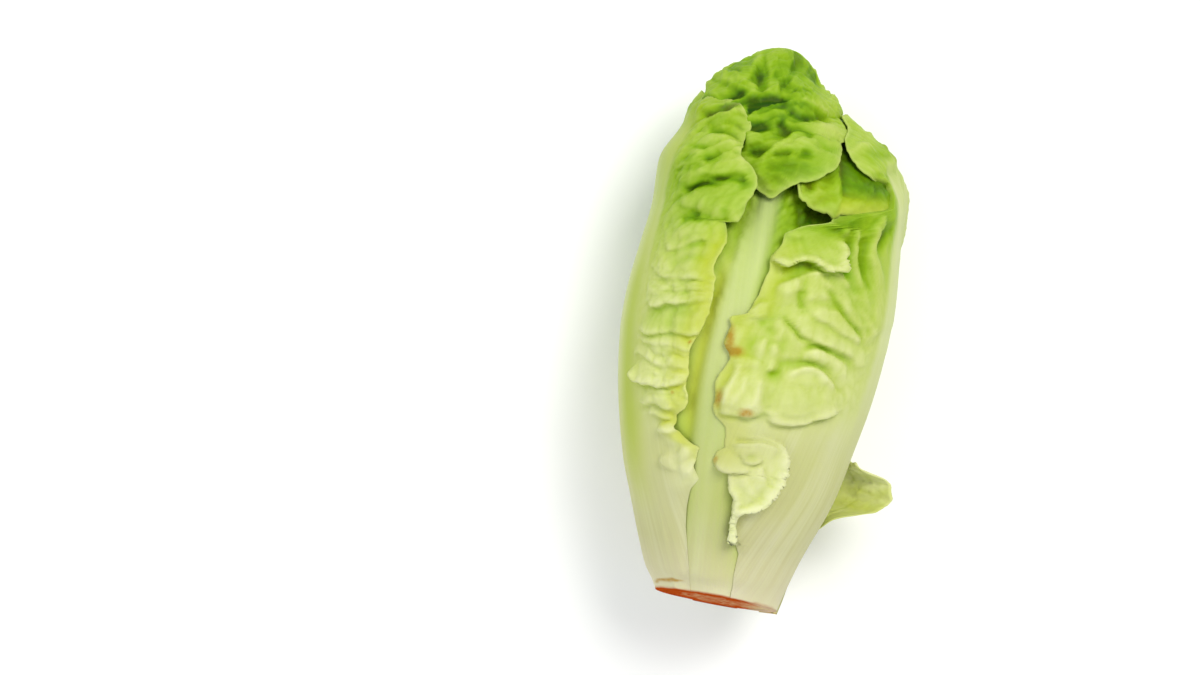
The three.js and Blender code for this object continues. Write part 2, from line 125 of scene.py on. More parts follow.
def softNoise(points, size, seed):  # -1 to 1, blobs of about that size
    p = points / size
    cell = np.floor(p).astype(np.int64)
    t = p - cell
    t = t * t * (3 - 2 * t)
    total = 0
    for corner in np.ndindex(*(2,) * points.shape[-1]):
        step = np.array(corner)
        weight = np.prod(np.where(step == 1, t, 1 - t), axis=-1)
        total = total + weight * latticeDraw(cell + step, seed)
    return 2 * total - 1


def roughNoise(points, size, seed, octaves=3):
    return sum(softNoise(points, size / 2**i, seed + i) / 2**i for i in range(octaves))


def softNoises(points, size, seeds):  # one for each coordinate
    return np.stack([softNoise(points, size, seed) for seed in seeds], -1)


# 0 in the creases and 1 on top of each pillow, with a draw for each. The middles wander from the cells' own.
def pillowNoise(points, seed, soft=0.7, wander=0.75):
    cell = np.floor(points).astype(np.int64)
    nearest = np.full(points.shape[:-1], 9.0)
    second = nearest.copy()
    draw = np.zeros(points.shape[:-1])
    for around in np.ndindex(*(3,) * points.shape[-1]):
        other = cell + np.array(around) - 1
        centre = np.stack([latticeDraw(other, seed + 11 * i) for i in range(points.shape[-1])], -1)
        distance = np.linalg.norm(points - other - 0.5 - wander * (centre - 0.5), axis=-1)
        closer = distance < nearest
        second = np.where(closer, nearest, np.minimum(second, distance))
        draw = np.where(closer, latticeDraw(other, seed + 5), draw)
        nearest = np.minimum(nearest, distance)
    return np.sin(np.pi / 2 * np.clip((second - nearest) / soft, 0, 1)), draw


def crumple(points, size, seed, layers=((0.6, 1), (0.4, 0.55))):  # thin crooked ridges, up to 1
    return sum(part * (1 - np.abs(softNoise(points, size * scale, seed + i))) ** 5
               for i, (part, scale) in enumerate(layers))


# The shape of the whole heart.
leftRadius, rightRadius = curveThrough(heart["left"]), curveThrough(heart["right"])


def crownLean(along):
    return np.maximum(along - heart["capCentre"], 0) / heart["capArc"] * np.pi / 2


def heartRadius(turn, along):
    sine, cosine = np.sin(np.radians(turn)), np.cos(np.radians(turn))
    roundOne = mix(leftRadius(along), rightRadius(along), (1 + sine) / 2)
    towardsBack = -cosine * np.cos(crownLean(along))
    flat = heart["backHeight"] / np.maximum(towardsBack, heart["flatFrom"])
    return np.where(towardsBack > heart["flatFrom"], np.minimum(roundOne, flat), roundOne)


def ringRadius(along):
    return np.maximum(rightRadius(along) * np.cos(crownLean(along)), 1)


def place(turn, along, height):
    out = height * np.cos(crownLean(along))
    up = np.minimum(along, heart["capCentre"]) + height * np.sin(crownLean(along))
    sine, cosine = np.sin(np.radians(turn)), np.cos(np.radians(turn))
    return np.stack([out * sine, up, out * cosine * heart["flattening"]], -1)


def cutLift(across, level):  # the cut is a little aslant
    return heart["cutSlope"][0] * across + heart["cutSlope"][1] * level + heart["cutRise"]


def asSeen(points):  # where the camera sees them against the level of the axis
    right, up, away = studio["camera"]
    nearer = away / (away - points[..., 2:])
    return np.array((right, up)) + (points[..., :2] - (right, up)) * nearer


def fromAbove(points, under=2, rounds=30):  # what is seen at (right, up) on the front, as turns and alongs
    seen = np.array(points, float)
    turn, along = np.zeros(len(seen)), seen[:, 1].copy()
    centre = np.array(studio["camera"])
    for _ in range(rounds):
        height = heartRadius(turn, along) - under
        level = place(turn, along, height)[:, 2:]
        right, up = (centre[:2] + (seen - centre[:2]) * (centre[2] - level) / centre[2]).T
        lean = np.arcsin(np.clip((up - heart["capCentre"]) / height, 0, 0.99))
        onCap = heart["capCentre"] + lean / (np.pi / 2) * heart["capArc"]
        along = np.where(up > heart["capCentre"], onCap, up)
        turn = np.degrees(np.arcsin(np.clip(right / (height * np.cos(lean)), -1, 1)))
    return turn, along


# The height map of what is already laid.
class Pile:
    columns, rows, nothing = 480, 256, -100.0

    def __init__(self):
        self.top = np.full((self.rows, self.columns), self.nothing)
        self.columnTurn, self.rowLength = 360 / self.columns, pole / (self.rows - 1)

    def mark(self, turn, along, height, times=3):
        turn, along, height = (finer(grid, times) for grid in (turn, along, height))
        column = np.floor(turn / self.columnTurn).astype(int)
        row = np.clip(np.floor(along / self.rowLength).astype(int), 0, self.rows - 2)
        for c in (0, 1):
            for r in (0, 1):
                np.maximum.at(self.top, (row + r, (column + c) % self.columns), height)

    def under(self, turn, along, reach=1.0):  # the highest point of the pile within reach
        wide = np.maximum(self.top, np.maximum(np.roll(self.top, 1, 0), np.roll(self.top, -1, 0)))
        wide[0], wide[-1] = self.top[:2].max(0), self.top[-2:].max(0)
        spread = reach / ringRadius(np.arange(self.rows) * self.rowLength) / np.radians(self.columnTurn)
        for r in range(self.rows):
            row = wide[r].copy()
            for k in range(1, min(int(np.ceil(spread[r])), self.columns // 2) + 1):
                row = np.maximum(row, np.maximum(np.roll(wide[r], k), np.roll(wide[r], -k)))
            wide[r] = row
        c, r = (turn / self.columnTurn) % self.columns, np.clip(along / self.rowLength, 0, self.rows - 1.001)
        column, row = np.floor(c).astype(int) % self.columns, np.floor(r).astype(int)
        x, y = c - np.floor(c), r - row
        after = (column + 1) % self.columns
        low = mix(wide[row, column], wide[row, after], x)
        return mix(low, mix(wide[row + 1, column], wide[row + 1, after], x), y)


def finer(grid, times):
    rows, columns = grid.shape
    r = np.linspace(0, rows - 1, (rows - 1) * times + 1)
    c = np.linspace(0, columns - 1, (columns - 1) * times + 1)
    row, column = np.minimum(r.astype(int), rows - 2), np.minimum(c.astype(int), columns - 2)
    x, y = (c - column)[None, :], (r - row)[:, None]
    low = mix(grid[row][:, column], grid[row][:, column + 1], x)
    return mix(low, mix(grid[row + 1][:, column], grid[row + 1][:, column + 1], x), y)


pile = Pile()

foldLook = {  # for all that is drawn on the front, in the order of the tools below
    "pathFade": 0.16, "pathEnd": 1.5,
    "ledgeRim": 0.9, "ledgeDip": 0.3, "ledgeLip": 0.45, "ledgeShadeAndHighlight": (0.08, 0.03),
    "ledgeNoise": (0.8, 0.5, 6, 811),
    "creaseSoftening": (0.7, 1.3), "creaseShade": 0.13, "ridgeHighlight": 0.06,
    "pocketSoftening": (0.55, 1.4), "pocketShade": 0.1, "bubbleHighlight": 0.02, "bubbleRounding": 1.4,
    "pillowHeight": 0.85, "pillowSlope": 1.6, "pillowTilt": 0.15, "pillowShadeAndHighlight": (0.07, 0.03),
    "flapRim": (0.4, 0.22), "flapRoll": 0.7, "flapShade": 0.2,
}


def smoothPath(points, samples=10):
    p = np.array(points, float)
    if len(p) == 2:
        return mix(p[0], p[1], np.linspace(0, 1, 2 * samples)[:, None])
    share = np.arange(len(p))
    fine = np.linspace(0, len(p) - 1, samples * (len(p) - 1) + 1)
    return np.stack([curveThrough(np.column_stack([share, p[:, i]]))(fine) for i in (0, 1)], -1)


def nearestOf(path, seen):  # the nearest point of a path, and the gap to it
    gap = seen[..., None, :] - path
    nearest = np.argmin((gap**2).sum(-1), axis=-1)
    return nearest, np.take_along_axis(gap, nearest[..., None, None].repeat(2, -1), axis=-2)[..., 0, :]


# The distance to a path, more than 0 on its left as one goes along it, its fading at both ends and its left.
def besidePath(points, seen):
    path = smoothPath(points)
    tangent = np.gradient(path, axis=0)
    tangent /= np.linalg.norm(tangent, axis=1)[:, None]
    nearest, gap = nearestOf(path, seen)
    way = tangent[nearest]
    aside = way[..., 0] * gap[..., 1] - way[..., 1] * gap[..., 0]
    past = (way * gap).sum(-1)
    share, fade = nearest / (len(path) - 1), foldLook["pathFade"]
    fading = smoothStep(0, fade, share + 0.01) * smoothStep(0, fade, 1 - share + 0.01)
    return aside, fading * hill(past, 0, foldLook["pathEnd"]), np.stack([-way[..., 1], way[..., 0]], -1)


# A ledge: the leaf bulges on the left of the path, as high as stated, and sinks back within reach.
# Painted shade darkens the dip in front of the ledge and a painted highlight lightens its rim.
def ledge(sheet, height, reach, points):
    near = sheet.near(points, reach * 2.5 + 3)
    aside, fading, left = besidePath(points, sheet.drawn[near])
    even, uneven, size, seed = foldLook["ledgeNoise"]
    fading = fading * (even + uneven * softNoise(sheet.base[near], size, seed)) * sheet.leaf.get("ledges", 1)
    wide = foldLook["ledgeRim"]
    bulge = smoothStep(-0.3, wide, aside) * np.exp(-np.maximum(aside - wide, 0) / reach)
    dip, rim = hill(aside, -wide, wide), hill(aside, 0.7, wide)
    sheet.relief[near] += height * fading * (bulge - foldLook["ledgeDip"] * dip)
    sheet.shift[near] -= left * (foldLook["ledgeLip"] * height * fading * rim)[..., None]
    inDip, onRim = foldLook["ledgeShadeAndHighlight"]
    sheet.shadeAndTone[near] += height * fading * (inDip * dip - onRim * rim)


# A crease, or with a depth below zero a ridge, with painted shade in a crease and a painted highlight on a
# ridge.
def crease(sheet, depth, width, points):
    near = sheet.near(points, width * 3 + 2)
    aside, fading, _ = besidePath(points, sheet.drawn[near])
    if depth > 0:
        lower, wider = foldLook["creaseSoftening"]
        depth, width = lower * depth, wider * width
    line = depth * fading * hill(aside, 0, width)
    sheet.relief[near] -= line
    sheet.shadeAndTone[near] += np.where(line > 0, foldLook["creaseShade"], foldLook["ridgeHighlight"]) * line


def dome(sheet, height, right, up, wide, long):  # a bubble of the blade, or with a height below zero a pocket
    # painted shade darkens a pocket and a painted highlight lightens a bubble
    seen = sheet.drawn
    if height < 0:
        lower, wider = foldLook["pocketSoftening"]
        height, wide, long = lower * height, wider * wide, wider * long
    distance = np.hypot((seen[..., 0] - right) / wide, (seen[..., 1] - up) / long)
    bump = height * sheet.front * np.maximum(1 - distance**2, 0) ** foldLook["bubbleRounding"]
    sheet.relief += bump
    sheet.shadeAndTone -= np.where(bump < 0, foldLook["pocketShade"], foldLook["bubbleHighlight"]) * bump


def spot(seen, right, up, wide, long):  # 1 at one place of the front, fading round it
    return np.exp(-(((seen[..., 0] - right) / wide) ** 2) - ((seen[..., 1] - up) / long) ** 2)


def shade(sheet, amount, right, up, wide, long):  # painted shade as a deeper green; below zero a painted highlight, and in a few spots the leaf's own deeper green
    sheet.shadeAndTone += amount * sheet.front * spot(sheet.drawn, right, up, wide, long)


# How deep the points of a sheet are inside an outline, and the way out of it.
def insideOutline(outline, seen):
    loop = smoothPath([*outline, outline[0]], 6)
    inside = np.zeros(seen.shape[:-1], bool)
    for (x0, y0), (x1, y1) in zip(loop[:-1], loop[1:]):
        crossing = (y0 > seen[..., 1]) != (y1 > seen[..., 1])
        inside ^= crossing & (seen[..., 0] < (x1 - x0) * (seen[..., 1] - y0) / (y1 - y0 + 1e-9) + x0)
    _, gap = nearestOf(loop, seen)
    distance = np.linalg.norm(gap, axis=-1)
    outwards = gap / np.maximum(distance, 0.05)[..., None] * np.where(inside, -1, 1)[..., None]
    return np.where(inside, distance, -distance), outwards


def towards(outline, way, seen, low, high):  # from 0 to 1 across an outline in the direction stated
    loop = np.array(outline, float)
    middle = loop.mean(0)
    half = np.abs((loop - middle) @ np.array(way)).max()
    return smoothStep(low, high, (seen - middle) @ np.array(way) / half)


# A pillow of the blade between its veins: it rises from its outline within a soft width, most on one side.
# Painted shade lies just outside the pillow's outline and a painted highlight on its rim.
def pillow(sheet, height, soft, way, outline):
    near = sheet.near(outline, 3)
    seen = sheet.drawn[near]
    depth, _ = insideOutline(outline, seen)
    rise = np.clip(depth / (foldLook["pillowSlope"] * soft), 0, 1)
    tilt = mix(foldLook["pillowTilt"], 1, towards(outline, way, seen, -1, 0.7))
    sheet.relief[near] += foldLook["pillowHeight"] * height * tilt * np.sin(rise * 1.57)
    beside, onRim = foldLook["pillowShadeAndHighlight"]
    shades = beside * hill(depth, -0.3, 0.7) - onRim * hill(depth, 0.8, 0.6)
    sheet.shadeAndTone[near] += tilt * shades * min(height, 2)


# A flap that lies on the leaf: raised inside its outline, most on its free side, which rolls up a little.
# Painted shadow darkens the leaf just outside the flap's free edge.
def flap(sheet, height, free, outline):
    near = sheet.near(outline, 4)
    seen = sheet.drawn[near]
    depth, outwards = insideOutline(outline, seen)
    freedom = towards(outline, free, seen, -0.9, 0.5)
    high, low = foldLook["flapRim"]
    rim = high * hill(depth, 0.9, 0.8) - low * hill(depth, 3, 1.6)
    sheet.relief[near] += height * freedom * smoothStep(-0.25, 0.6, depth) * (1 + rim)
    sheet.shift[near] += outwards * (foldLook["flapRoll"] * freedom * hill(depth, 0.5, 0.7))[..., None]
    sheet.shadeAndTone[near] += foldLook["flapShade"] * freedom * hill(depth, -0.8, 0.9)
    return near, smoothStep(-0.3, 0.5, depth) * freedom


# All that is drawn on a leaf, by kind: pillows (height, soft width, way to the high side, outline), ledges
# (height, reach, path), creases (depth, width, path), domes (height, right, up, half width, half length) and
# shades (amount, right, up, half width, half length).
def fold(sheet, drawing):
    tools = {"pillows": pillow, "ledges": ledge, "creases": crease, "domes": dome, "shades": shade}
    for kind, tool in tools.items():
        for one in drawing.get(kind, []):
            tool(sheet, *one)


# A leaf as a sheet of points, and how it is laid on the pile.
laying = {
    "thickness": 0.75, "marginThickness": (0.1, 0.25), "thinWithin": 5,
    "ribFading": 0.8, "ribAtMargin": 0.2, "ribWithin": 9, "ribAtTip": 1.5,
    "air": 0.4, "airAtMargin": 0.12, "airWithin": 6, "droopWithin": 8, "frontAbove": 2,
    "settling": 160, "settlingScale": 0.83, "hollowShadeReach": 14, "hollowShadeDepth": 1.5,
    "levelAtPole": 11, "shortestStep": 0.4, "steepest": 2.5, "steepestAtMargin": 1.4,
    "wander": ((0.9, 7, 81), (0.35, 2.6, 91)),  # how far what is drawn wanders, size of the blobs, seed
}


class Sheet:
    def __init__(self, leaf, turn, along, edge, closed):
        self.leaf, self.turn, self.along, self.edge, self.closed = leaf, turn, along, edge, closed
        self.radius = heartRadius(turn, along)
        midrib = leaf["midrib"]
        between = (turn - midrib) if not closed else (turn - midrib + 180) % 360 - 180
        self.aside = np.radians(between) * ringRadius(along)  # mm from the midrib
        self.share = np.clip((along - leaf["foot"]) / (leaf["tip"] - leaf["foot"]), 0, 1)
        self.sunk = insetAt(leaf, turn, along, self.radius)
        self.base = place(turn, along, self.radius - self.sunk)
        self.seen = asSeen(self.base)
        wobble = 1 + leaf.get("wobble", 0) * (1 - smoothStep(104, 118, along))
        large, small = (amount * softNoises(self.base, size, (seed, seed + 1))
                        for amount, size, seed in laying["wander"])
        self.drawn = self.seen + wobble[..., None] * (large + small)
        self.front = (self.base[..., 2] > laying["frontAbove"]).astype(float)
        self.relief = np.zeros(turn.shape)
        # painted shade and painted highlight as more or less green, and in a few drawn spots the leaf's own
        # deeper green
        self.shadeAndTone = np.zeros(turn.shape)
        self.shift = np.zeros(turn.shape + (2,))
        self.fromRib = np.abs(self.aside) * np.where(self.aside * midrib > 0, leaf.get("ribBehind", 1), 1)
        plainRib = [(0, leaf.get("ribWidth", 0) / 2), (leaf["tip"], laying["ribAtTip"])]
        self.ribHalf = curveThrough(leaf.get("ribCurve", plainRib))(along)
        self.rib = hill(self.fromRib, 0, self.ribHalf)
        margin = mix(*laying["marginThickness"], smoothStep(35, 60, along))
        ribRise = leaf["ribThickness"] * (1 - self.share) ** laying["ribFading"] * self.rib
        ribRise = ribRise * mix(laying["ribAtMargin"], 1, smoothStep(0, laying["ribWithin"], edge))
        self.thick = mix(margin, laying["thickness"], smoothStep(0, laying["thinWithin"], edge)) + ribRise
        self.freed = np.ones(turn.shape)  # less where a margin lies flush on what is under it
        self.spread = np.zeros(turn.shape)  # how far it stands away from the heart
        self.tucked = np.zeros(turn.shape)  # how far it dips under the leaf before it
        paints = ("green", "yellow", "rib", "hollowShade", "bruise", "browned")
        self.paint = {name: np.zeros(turn.shape) for name in paints}

    def near(self, points, reach):
        p = np.array(points, float)
        inside = np.all((self.seen > p.min(0) - reach) & (self.seen < p.max(0) + reach), axis=-1)
        return inside & (self.front > 0)

    def around(self, grid):  # the mean of the four neighbours
        rows = np.concatenate([grid[:1], grid, grid[-1:]])
        if self.closed:
            columns = np.concatenate([grid[:, -1:], grid, grid[:, :1]], 1)
        else:
            columns = np.concatenate([grid[:, :1], grid, grid[:, -1:]], 1)
        return (rows[:-2] + rows[2:] + columns[:, :-2] + columns[:, 2:]) / 4

    def blurred(self, grid, passes):
        for _ in range(passes):
            grid = (grid + self.around(grid)) / 2
        return grid

    def lay(self):
        leaf, edge = self.leaf, self.edge
        droop = leaf.get("droop", 0) * np.exp(-edge / laying["droopWithin"])
        wish = -self.sunk - self.thick - droop + self.spread
        air = mix(laying["airAtMargin"], laying["air"], smoothStep(0, laying["airWithin"], edge))
        floor = pile.under(self.turn, self.along) + air
        if self.closed:
            floor[-1] = floor[-1].max()
        height = np.maximum(wish, floor)
        fineness = 1
        if not self.closed:
            fineness = (laying["settlingScale"] * len(self.turn) / (leaf["tip"] - leaf["foot"])) ** 2
        for _ in range(int(leaf.get("settling", laying["settling"]) * fineness)):
            height = np.maximum((height + self.around(height)) / 2, np.maximum(floor, wish))
        # The hollow paint is painted shade where the relief lies below its blurred self and a painted
        # highlight where it stands above it.
        soft = self.blurred(self.relief, int(laying["hollowShadeReach"] * fineness))
        self.paint["hollowShade"] = np.clip((soft - self.relief) / laying["hollowShadeDepth"], -1, 1)
        inner = np.maximum(height + self.relief * self.freed, floor) - self.tucked
        if self.closed:
            common = (self.radius[-1] + inner[-1]).max()
            nearPole = smoothStep(pole - laying["levelAtPole"], pole, self.along)
            inner = mix(inner, common - self.radius, nearPole)
        outer = inner + self.thick * self.blurred(self.steepness(inner), 1)
        self.inner, self.outer = self.radius + inner, self.radius + outer
        turn, along, top = self.turn, self.along, outer
        if self.closed:
            turn, along, top = (wrapped(grid) for grid in (turn, along, top))
            turn[:, -1] = turn[:, -2] + (turn[:, 1] - turn[:, 0])
        pile.mark(turn, along, top)
        return self

    def steepness(self, inner):  # how much longer the way through a leaf is where it rises aslant
        slopes = np.gradient(inner + self.radius)
        across = np.radians(np.gradient(self.turn, axis=1)) * ringRadius(self.along)
        stepAlong, stepAcross = (np.maximum(np.abs(step), laying["shortestStep"])
                                 for step in (np.gradient(self.along, axis=0), across))
        steep = np.sqrt(1 + (slopes[0] / stepAlong) ** 2 + (slopes[1] / stepAcross) ** 2)
        steep = np.minimum(steep, laying["steepest"])
        return mix(np.minimum(steep, laying["steepestAtMargin"]), steep, smoothStep(0, 6, self.edge))

    def layer(self, height, lowest):
        points = place(self.turn, self.along, height)
        points[..., :2] += self.shift * self.front[..., None]
        if self.leaf["foot"] == 0:
            nearCut = 1 - smoothStep(0, heart["cutReach"], self.along)
            points[..., 1] += cutLift(points[..., 0], points[..., 2]) * nearCut
        points[..., 2] = np.maximum(points[..., 2], lowest - axisPlace[2])
        return points


def wrapped(grid):  # with its first column once more at the end
    return np.concatenate([grid, grid[:, :1]], 1)


# How far a margin on the front dips into the leaf under it, most near the foot, so that no slit shows there.
def dipped(sheet):
    depth = mix(0.35, 0.18, smoothStep(35, 60, sheet.along)) * (1 - smoothStep(98, 108, sheet.along))
    return depth * (1 - smoothStep(0.3, 2.5, sheet.edge)) * sheet.front


# How far in a leaf lies: as a share, or in mm at the side, the back, both shoulders and the crown.
def insetAt(leaf, turn, along, radius):
    if "share" in leaf:
        return radius * (1 - leaf["share"])
    side, back, leftShoulder, rightShoulder, crown = leaf["inset"]
    below = mix(side, back, smoothStep(0.4, 0.85, -np.cos(np.radians(turn))))
    shoulder = mix(leftShoulder, rightShoulder, (1 + np.sin(np.radians(turn))) / 2)
    return mix(mix(below, shoulder, smoothStep(104, 138, along)), crown, smoothStep(150, 174, along))


tearing = {"size": 9, "octaves": 4, "tipSize": 8, "tipOctaves": 3, "tipReach": 6}  # of the margins


# One edge of a blade in turns, for each row: the plain curve, and the torn one with its drawn margin.
def edgeTurns(leaf, side, along):
    smooth = curveThrough(leaf[side])(along)
    exact = smooth.copy()
    drawn = leaf.get(side + "Margin")
    if drawn:
        turn, at = fromAbove(drawn)
        order = np.argsort(at, kind="stable")
        inside = smoothStep(at.min() - 3, at.min(), along) * (1 - smoothStep(at.max(), at.max() + 4, along))
        exact = mix(exact, np.interp(along, at[order], turn[order]), inside)
    marks = np.stack([along, np.full(along.shape, 7.0 * len(side))], -1)
    tear = roughNoise(marks, tearing["size"], leaf["seed"] + len(side), tearing["octaves"])
    tear = tear * leaf["ragged"] * smoothStep(25, 60, along)
    return smooth, exact + np.degrees(tear / ringRadius(along))


def bladeSheet(leaf):
    rows, columns = leaf["grid"]
    share = np.linspace(0, 1, rows)
    across = np.linspace(-1, 1, columns)[None, :]
    along = mix(leaf["foot"], leaf["tip"], share)
    start, strength = leaf.get("rounding", (0.8, 0.85))
    rounding = np.sqrt(1 - strength * np.clip((share - start) / (1 - start), 0, 1) ** 2)
    pulled = smoothStep(0.45, 1, np.abs(across))
    turn = np.zeros((rows, columns))
    spanHere = np.zeros((rows, columns))
    for side, sign in (("left", -1), ("right", 1)):
        smooth, exact = edgeTurns(leaf, side, along)
        smoothSpan, exactSpan = ((edge - leaf["midrib"]) * rounding for edge in (smooth, exact))
        span = smoothSpan[:, None] * np.abs(across) + (exactSpan - smoothSpan)[:, None] * pulled
        onSide = np.broadcast_to(across * sign > 0, turn.shape)
        turn = np.where(onSide, leaf["midrib"] + span, turn)
        spanHere = np.where(onSide, np.abs(exactSpan)[:, None], spanHere)
    turn[:, columns // 2] = leaf["midrib"]
    alongs = np.repeat(along[:, None], columns, 1)
    toTip = (1 - share)[:, None] * (leaf["tip"] - leaf["foot"])
    marks = np.stack([turn, alongs], -1)
    tear = roughNoise(marks, tearing["tipSize"], leaf["seed"] + 3, tearing["tipOctaves"]) * leaf["ragged"]
    tipLine = leaf.get("tipTear", 1) * tear + leaf.get("tipRise", 0) * (1 - across**2)
    alongs = alongs + tipLine * np.exp(-toTip / tearing["tipReach"])
    toSide = np.radians(spanHere) * ringRadius(alongs) * (1 - np.abs(across))
    return Sheet(leaf, turn, alongs, np.minimum(toSide, toTip), False)


# A leaf closed over the crown: its edge runs once round the heart, and its rows go from there to the pole.
def hoodSheet(leaf):
    rows, columns = leaf["grid"]
    turn, edge = np.array(leaf["edge"], float).T
    drawnTurn, drawnEdge = fromAbove(leaf["margin"])
    kept = (turn < drawnTurn.min() - 4) | (turn > drawnTurn.max() + 4)
    turn, edge = np.concatenate([turn[kept], drawnTurn]), np.concatenate([edge[kept], drawnEdge])
    order = np.argsort(turn, kind="stable")
    turn, edge = turn[order], edge[order]
    turns = turn[0] + (turn[-1] - turn[0]) * np.arange(columns) / columns
    edges = np.maximum(np.interp(turns, turn, edge), leaf["foot"])
    marks = place(turns, np.full(columns, 100.0), 40)
    tear = roughNoise(marks, tearing["size"], leaf["seed"], tearing["octaves"])
    edges = np.maximum(edges + tear * leaf["ragged"] * smoothStep(20, 60, edges), leaf["foot"])
    share = np.linspace(0, 1, rows)[:, None]
    alongs = mix(edges[None, :], pole, share)
    turnGrid = np.repeat(turns[None, :], rows, 0)
    slope = np.gradient(edges) / (np.radians(turns[1] - turns[0]) * 42)
    return Sheet(leaf, turnGrid, alongs, (alongs - edges) / np.sqrt(1 + slope**2), True)


# What every blade has: side veins, pillows between them, and ruffled edges.
bladeLook = {
    "warp": {True: (0.35, 14, 3), False: (0.3, 15, 2)},  # of a closed sheet or not: how far, size, directions
    "fineness": 2.3, "big": 0.62, "small": 0.28, "folds": 0.9, "foldSize": 17,
    "crumple": 0.3, "crumpleSize": 7, "ruffleSize": 6.5, "ruffleReach": 3.2,
    "mottle": 0.06, "mottleSize": 22, "shadeContrast": 0.75, "yellowing": 0.12, "yellowSize": 12,
    "frays": ((1, 1.6, 9, 61), (0.6, 0.7, 7, 62)), "frayBefore": 0.25, "ribEnd": (176, 190),
}


def veinPlace(sheet):
    slant = curveThrough(sheet.leaf["veinSlant"])(sheet.along)
    return sheet.along - slant * np.abs(sheet.aside), sheet.aside


def puckers(sheet):
    leaf = sheet.leaf
    across, outwards = veinPlace(sheet)
    if sheet.closed:
        points = sheet.base / np.array(leaf["pillows"])
    else:
        points = np.stack([outwards / leaf["pillows"][0], across / leaf["pillows"][1]], -1)
    far, size, directions = bladeLook["warp"][sheet.closed]
    points = points + far * softNoises(sheet.base, size, [leaf["seed"] + 1 + i for i in range(directions)])
    big, draw = pillowNoise(points, leaf["seed"])
    small, _ = pillowNoise(points * bladeLook["fineness"] + 5, leaf["seed"] + 3)
    blade = smoothStep(0.7, 1.9, sheet.fromRib / sheet.ribHalf) * smoothStep(*leaf["bladeStart"], sheet.along)
    if sheet.closed:
        overCrown = smoothStep(0, 50, np.abs(sheet.aside) + sheet.along - 130)
        blade = np.maximum(blade, smoothStep(120, 150, sheet.along) * overCrown)
    sheet.blade = blade
    folds = 0.5 + 0.5 * roughNoise(sheet.base, bladeLook["foldSize"], leaf["seed"] + 7, 2)
    blade = blade * mix(1, leaf.get("frontPuckers", 1), sheet.front * smoothStep(0, 12, sheet.base[..., 2]))
    waves = bladeLook["big"] * big * (0.5 + draw) + bladeLook["small"] * small + bladeLook["folds"] * folds
    sheet.relief += blade * leaf["puckerHeight"] * waves
    ridges = crumple(sheet.base, bladeLook["crumpleSize"], leaf["seed"] + 41)
    sheet.relief += sheet.blade * leaf.get("crumple", bladeLook["crumple"]) * ridges
    ruffle = 0.5 + 0.5 * roughNoise(sheet.base, bladeLook["ruffleSize"], leaf["seed"] + 9, 2)
    sheet.relief += leaf["ruffle"] * blade * ruffle * np.exp(-sheet.edge / bladeLook["ruffleReach"])


def paintLeaf(sheet):
    leaf, paint = sheet.leaf, sheet.paint
    mottle = roughNoise(sheet.base, bladeLook["mottleSize"], leaf["seed"] + 21, 3)
    # painted shade and painted highlight from the folds and shades drawn on the leaf, scaled by the leaf's
    # shade contrast
    shadeAndTone = leaf.get("shadeContrast", bladeLook["shadeContrast"]) * np.tanh(sheet.blurred(sheet.shadeAndTone, 2))
    green = curveThrough(leaf["green"])(sheet.along) + bladeLook["mottle"] * mottle + shadeAndTone
    paint["green"] = np.clip(green, 0, 1)
    yellow = bladeLook["yellowing"] * softNoise(sheet.base, bladeLook["yellowSize"], leaf["seed"] + 31)
    paint["yellow"] = np.clip(leaf["yellow"] + yellow, 0, 1)
    petiole = 1 - smoothStep(*leaf["bladeStart"], sheet.along)
    across, outwards = veinPlace(sheet)
    fray = sum(amount * softNoise(np.stack([across / wide, outwards / long], -1), 1, leaf["seed"] + seed)
               for amount, wide, long, seed in bladeLook["frays"])
    fray = fray * np.where(sheet.aside * leaf["midrib"] > 0, 1, bladeLook["frayBefore"])
    rib = np.maximum(1 - smoothStep(0.8, 1.3, sheet.fromRib / sheet.ribHalf + 0.22 * fray), petiole)
    paint["rib"] = rib * (1 - smoothStep(*leaf.get("ribEnd", bladeLook["ribEnd"]), sheet.along + 5 * fray))
    if leaf["foot"] == 0:
        browned = 1 - smoothStep(0.1, 0.75, sheet.along + 0.25 * softNoise(sheet.base, 3, 5))
        paint["browned"] = browned * paleCut(sheet.seen[..., 0])


def paleCut(right):  # the cut is paler on the right
    return 1 - 0.6 * smoothStep(7, 15, right)


def standing(sheet, height, turn, along, wide, long):  # how far a part of a leaf stands away from the heart
    return height * spot(np.stack([sheet.turn, sheet.along], -1), turn, along, wide, long)


def bruises(sheet):
    seen = sheet.seen + 0.8 * softNoises(sheet.base, 2.5, (71, 72))
    return np.clip(sum(spot(seen, *one) for one in sheet.leaf["bruises"]), 0, 1) * sheet.front


# The leaves, from the innermost out: the settings of each, and in a second dictionary what is drawn on it.
innerLeafCount = 7


